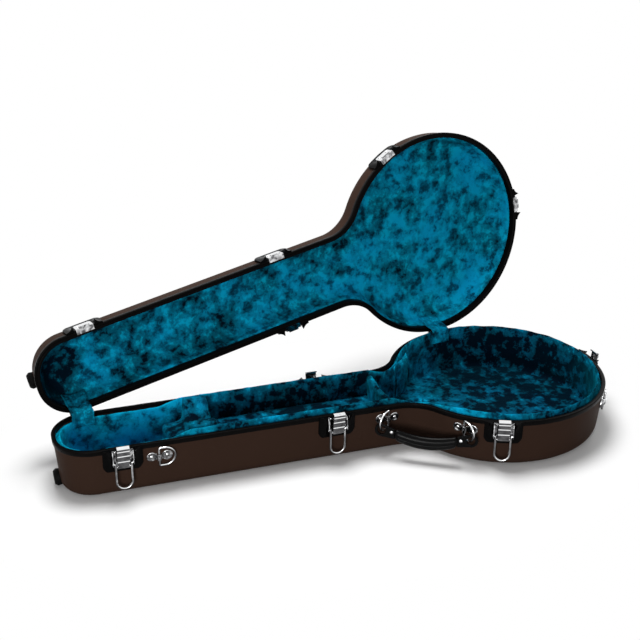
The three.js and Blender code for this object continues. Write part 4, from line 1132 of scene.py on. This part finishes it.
for latch, spot in latch_spots.items():
    pivot = base_wall(spot) @ Matrix.Translation(Vector((0, bail_pivot_up, bail_pivot_out)) * mm)
    add_piece(
        f"{latch}_wire_bail", bail_shape(), wire_chrome, f"{latch}_bail", [f"{latch}_bail"],
        pivot @ Matrix.Rotation(-slope_angle, 4, "X"), sharp=50,
    )
    for part, finish in (("plate", chrome), ("keeper", chrome), ("claw", claw_chrome)):
        restyle(f"{latch}_{part}", finish)
    add_rivets(f"{latch}_plate_rivets", rivets(1.9, 0.9, plate_rivets), "base", base_wall(spot))
    add_rivets(f"{latch}_keeper_rivets", rivets(2.3, 1.1, keeper_rivets), "lid", lid_place @ lid_wall(spot))

# Hinges: two chrome leaves each, stamped from sheet. They are riveted through the walls, with their
# knuckles let into the rim channels.
for hinge, spot in hinge_spots.items():
    for up, body, level, matrix in ((-1, "base", rim_z, Matrix()), (1, "lid", lid_rim_z, lid_place)):
        restyle(f"{hinge}_{body}_leaf", chrome)
        places = [(side * 9.5, up * drop, -wall_slope * drop) for side in (-1, 1) for drop in (12, 23)]
        heads = rivets(2.6, 1.2, places, Matrix.Rotation(up * -slope_angle, 4, "X"))
        add_rivets(f"{hinge}_{body}_rivets", heads, body, matrix @ wall_frame(spot, level, 0))

# Strap and handle clips: chrome strips arched over the straight bar of a D ring, with a round riveted end
# on each side. The strap rings hang flat, and the handle's rings stand out from the wall.
ring_wire = 2
clip_back = guard_wall_seat
clip_sheet = 2
clip_face = clip_back + clip_sheet
clip_ends = ((-13, 9), (14.5, 10))
strip_half = 6
arch_inner = 2.5
arch_outer = 4.3
bar_out = ring_wire + 2 * clearance
ring_half = 18
ring_bow_side = 10
ring_corner = 2.5
strap_drop = 29
handle_drop = 25
ring_swing = math.radians(35)


def pulled(profile, half):
    """A closed profile in local X and Z, pulled along local Y to both sides of the middle."""
    return loft([np.array([(x, y, z) for x, z in profile]) for y in (-half, half)])


def clip_shape(hand):
    over = arc_points(arch_outer, 0, math.pi, 13, (0, bar_out))
    under = arc_points(arch_inner, math.pi, 0, 13, (0, bar_out))
    (left, _), (right, _) = clip_ends
    strip = [
        (left, clip_back), (-arch_inner, clip_back), *under, (arch_inner, clip_back), (right, clip_back),
        (right, clip_face), (arch_outer, clip_face), *over, (-arch_outer, clip_face), (left, clip_face),
    ]
    parts = [pulled(strip, strip_half)]
    for side, radius in clip_ends:
        dished = [
            (radius, clip_back), (radius, clip_face - 0.7), (radius - 0.7, clip_face),
            (radius * 0.72, clip_face), (radius * 0.64, clip_face - 0.4), (0.3, clip_face - 0.4),
        ]
        parts.append(moved(turned(dished, 40), Matrix.Translation((side, 0, 0))))
        parts.append(rivets(3.6, 1.5, [(side, 0, clip_face - 0.2)]))
    points, faces = joined(*parts)
    return points * (hand, 1, 1), faces


def ring_shape(hand):
    bow = arc_points(ring_half, -math.pi / 2, math.pi / 2, 25, (ring_bow_side, 0))
    corner = arc_points(ring_corner, -math.pi, -math.pi / 2, 5, (ring_corner, ring_corner - ring_half))
    points = [*corner, *bow, *[(x, -y) for x, y in corner[::-1]]]
    return wire([(hand * x, y, 0) for x, y in points], ring_wire, True)


ring_spots = {
    "strap_peghead": (neck_spot(neck_tip_x + 175, -1), strap_drop, 1, 0),
    "strap_tail": (pot_spot(-39), strap_drop, 1, 0),
    "handle_neck": (neck_spot(waist_at_neck[0] - 19.6, -1), handle_drop, -1, ring_swing),
    "handle_pot": (pot_spot(-132.6), handle_drop, 1, ring_swing),
}
for clip, (spot, drop, hand, swing) in ring_spots.items():
    on_wall = base_wall(spot)
    add_piece(
        f"{clip}_ring_clip", clip_shape(hand), chrome, "base", [f"{clip}_clip"],
        on_wall @ Matrix.Translation((0, -drop * mm, 0)), bevel=0.25,
    )
    bar = on_wall @ Matrix.Translation((0, -drop * mm, bar_out * mm))
    add_piece(
        f"{clip}_d_ring", ring_shape(hand), wire_chrome, f"{clip}_ring", [f"{clip}_ring"],
        bar @ Matrix.Rotation(-hand * swing, 4, "Y"), sharp=60,
    )

# Handle: a stuffed leather grip with a groove along its middle and a flat eyelet tab at each end. It hangs
# in two D rings and swings up for carrying.
tab_half = 1.8
tab_eye = 8
tab_rim = 13
tab_length = 25
tab_rivet_in = 18.5
tab_rivet_up = -2.5
grip_sag = 11
grip_start = -6
grip_half_height = 13
grip_half_depth = 9
grip_end_share = 0.78
hook_angle = math.radians(-52)
leather, leather_tree, leather_shader = new_material(
    "black_leather", (0.0014, 0.0014, 0.0015), 0.2, specular=0.06,
)
leather_place = texture_place(leather_tree)
leather_cells = add_node(leather_tree, "TexVoronoi", {
    "Vector": leather_place, "Scale": 520.0,
}, "Distance", feature="DISTANCE_TO_EDGE")
leather_creases = add_node(leather_tree, "TexNoise", {
    "Vector": leather_place, "Scale": 60.0, "Detail": 6.0, "Roughness": 0.7,
}, "Fac")
leather_height = calc(leather_tree, "MULTIPLY_ADD", leather_creases, 0.7, leather_cells)
add_bump(leather_tree, leather_shader, leather_height, 0.25, 0.0007)


def hook_point(clip):
    spot, drop, hand, swing = ring_spots[clip]
    side = ring_bow_side + ring_half * math.cos(hook_angle)
    local = Vector((
        hand * side * math.cos(swing), -drop + ring_half * math.sin(hook_angle),
        bar_out + side * math.sin(swing),
    ))
    return base_wall(spot) @ (local * mm) / mm


handle_from = hook_point("handle_neck")
handle_to = hook_point("handle_pot")
handle_half = (handle_to - handle_from).length / 2
grip_half = handle_half - tab_length
handle_along = (handle_to - handle_from).normalized()
handle_up = Vector((0, 0, 1))
handle_turn = Matrix((handle_along, handle_up, handle_along.cross(handle_up))).transposed().to_4x4()
handle_place = Matrix.Translation((handle_from + handle_to) / 2 * mm) @ handle_turn


def grip_middle(x):
    return grip_start - grip_sag * (1 - (x / grip_half) ** 2)


def grip_point(x, a, lift=0.0):
    """A point of the grip's skin, or a little above it, at a place along it and an angle round it."""
    near = x / grip_half
    size = grip_end_share + (1 - grip_end_share) * math.sqrt(max(0, 1 - near ** 2))
    closing = 1 - 0.28 * max(0, (abs(near) - 0.9) / 0.1) ** 2
    groove = 0.2 * min(1, (1 - abs(near)) / 0.12)
    pinch = 1 - groove * math.exp(-(math.sin(a) / 0.2) ** 2)
    up = size * closing * grip_half_height * math.sin(a)
    out = size * closing * grip_half_depth * math.cos(a) * pinch
    return (x, grip_middle(x) + up + lift * math.sin(a), out + lift * math.cos(a))


def grip_shape():
    angles = np.linspace(0, 2 * math.pi, 40, endpoint=False)
    return loft([
        np.array([grip_point(x, a) for a in angles]) for x in np.linspace(-grip_half, grip_half, 49)
    ])


def tab_shape(hand):
    tall = grip_end_share * grip_half_height
    inner = tab_length - clearance
    outer = arc_points(tab_rim, math.pi / 2, 1.5 * math.pi, 25)
    for x in np.linspace(0, inner, 8)[1:]:
        outer.append((x, -tab_rim + (x / inner) * (grip_start - tall + tab_rim)))
    for x in np.linspace(inner, 0, 8)[:-1]:
        outer.append((x, tab_rim + (x / inner) * (grip_start + tall - tab_rim)))
    angles = [math.atan2(y, x) for x, y in outer]
    eye = [(tab_eye * math.cos(a), tab_eye * math.sin(a)) for a in angles]
    edges = ((outer, -tab_half), (outer, tab_half), (eye, tab_half), (eye, -tab_half))
    points, faces = loft([np.array([(x, y, z) for x, y in edge]) for edge, z in edges], True)
    points = points + (-handle_half, 0, 0)
    return (points, faces) if hand < 0 else (points * (-1, 1, -1), faces)


grip = add_piece(
    "handle_padding", grip_shape(), leather, "handle", ["handle_grip"], handle_place, sharp=60,
)

thread = grained("waxed_thread", (0.006, 0.006, 0.0065), 0.45, 0.1, 2500.0, 2.0, 0.4, 0.0002)[0]
stitch_pitch = 4.0
stitch_length = 2.8
stitch_lifts = ((0, -0.3), (0.2, 0.15), (0.5, 0.25), (0.8, 0.15), (1, -0.3))
seam_angle = 0.34
thread_radius = 0.32
stitches = []
for start in np.arange(-grip_half + 9, grip_half - 12, stitch_pitch):
    for seam in (seam_angle, -seam_angle, math.pi - seam_angle, math.pi + seam_angle):
        places = [grip_point(start + share * stitch_length, seam, lift) for share, lift in stitch_lifts]
        stitches.append(wire(places, thread_radius, sides=6))
add_piece("handle_stitching", joined(*stitches), thread, "handle", (), handle_place, sharp=80)

for end, hand in (("neck", -1), ("pot", 1)):
    add_piece(
        f"handle_eyelet_{end}", tab_shape(hand), leather, "handle", [f"handle_tab_{end}"],
        handle_place, bevel=0.6,
    )
    side = hand * (handle_half - tab_rivet_in)
    stud = rivets(3.4, 1.4, [(side, tab_rivet_up, tab_half)])
    back = rivets(3.4, 1.0, [(side, tab_rivet_up, -tab_half)], Matrix.Rotation(math.pi, 4, "X"))
    add_rivets(f"handle_rivet_{end}", joined(stud, back), "handle", handle_place)

# Feet: round bumpers of black rubber, screwed low on the neck end of base and lid, so that the shut case
# can stand on them.
foot_radius = 15.5
foot_height = 16.2
rubber = grained("black_rubber", (0.0025, 0.0025, 0.0025), 0.6, 0.04, 500.0, 4.0, 0.3, 0.0005)[0]
tip_spot = {"x": neck_tip_x, "y": 0, "out": Vector((-1, 0, 0)), "bend": end_radius}
foot_shape = turned([
    (foot_radius - 1, -4.5), (foot_radius, 3.2), (foot_radius - 0.5, 4.6), (12.2, 8.2), (11, 9), (3.7, 9),
    (3.2, 8.4), (2.8, 4.2), (0.3, 4),
], 48)
for body, place, up, depth in (
    ("base", base_wall(tip_spot), -1, base_depth), ("lid", lid_place @ lid_wall(tip_spot), 1, lid_depth),
):
    add_piece(
        f"{body}_bumper", foot_shape, rubber, body, [f"{body}_foot"],
        place @ Matrix.Translation((0, up * (depth - foot_height) * mm, 0)),
    )
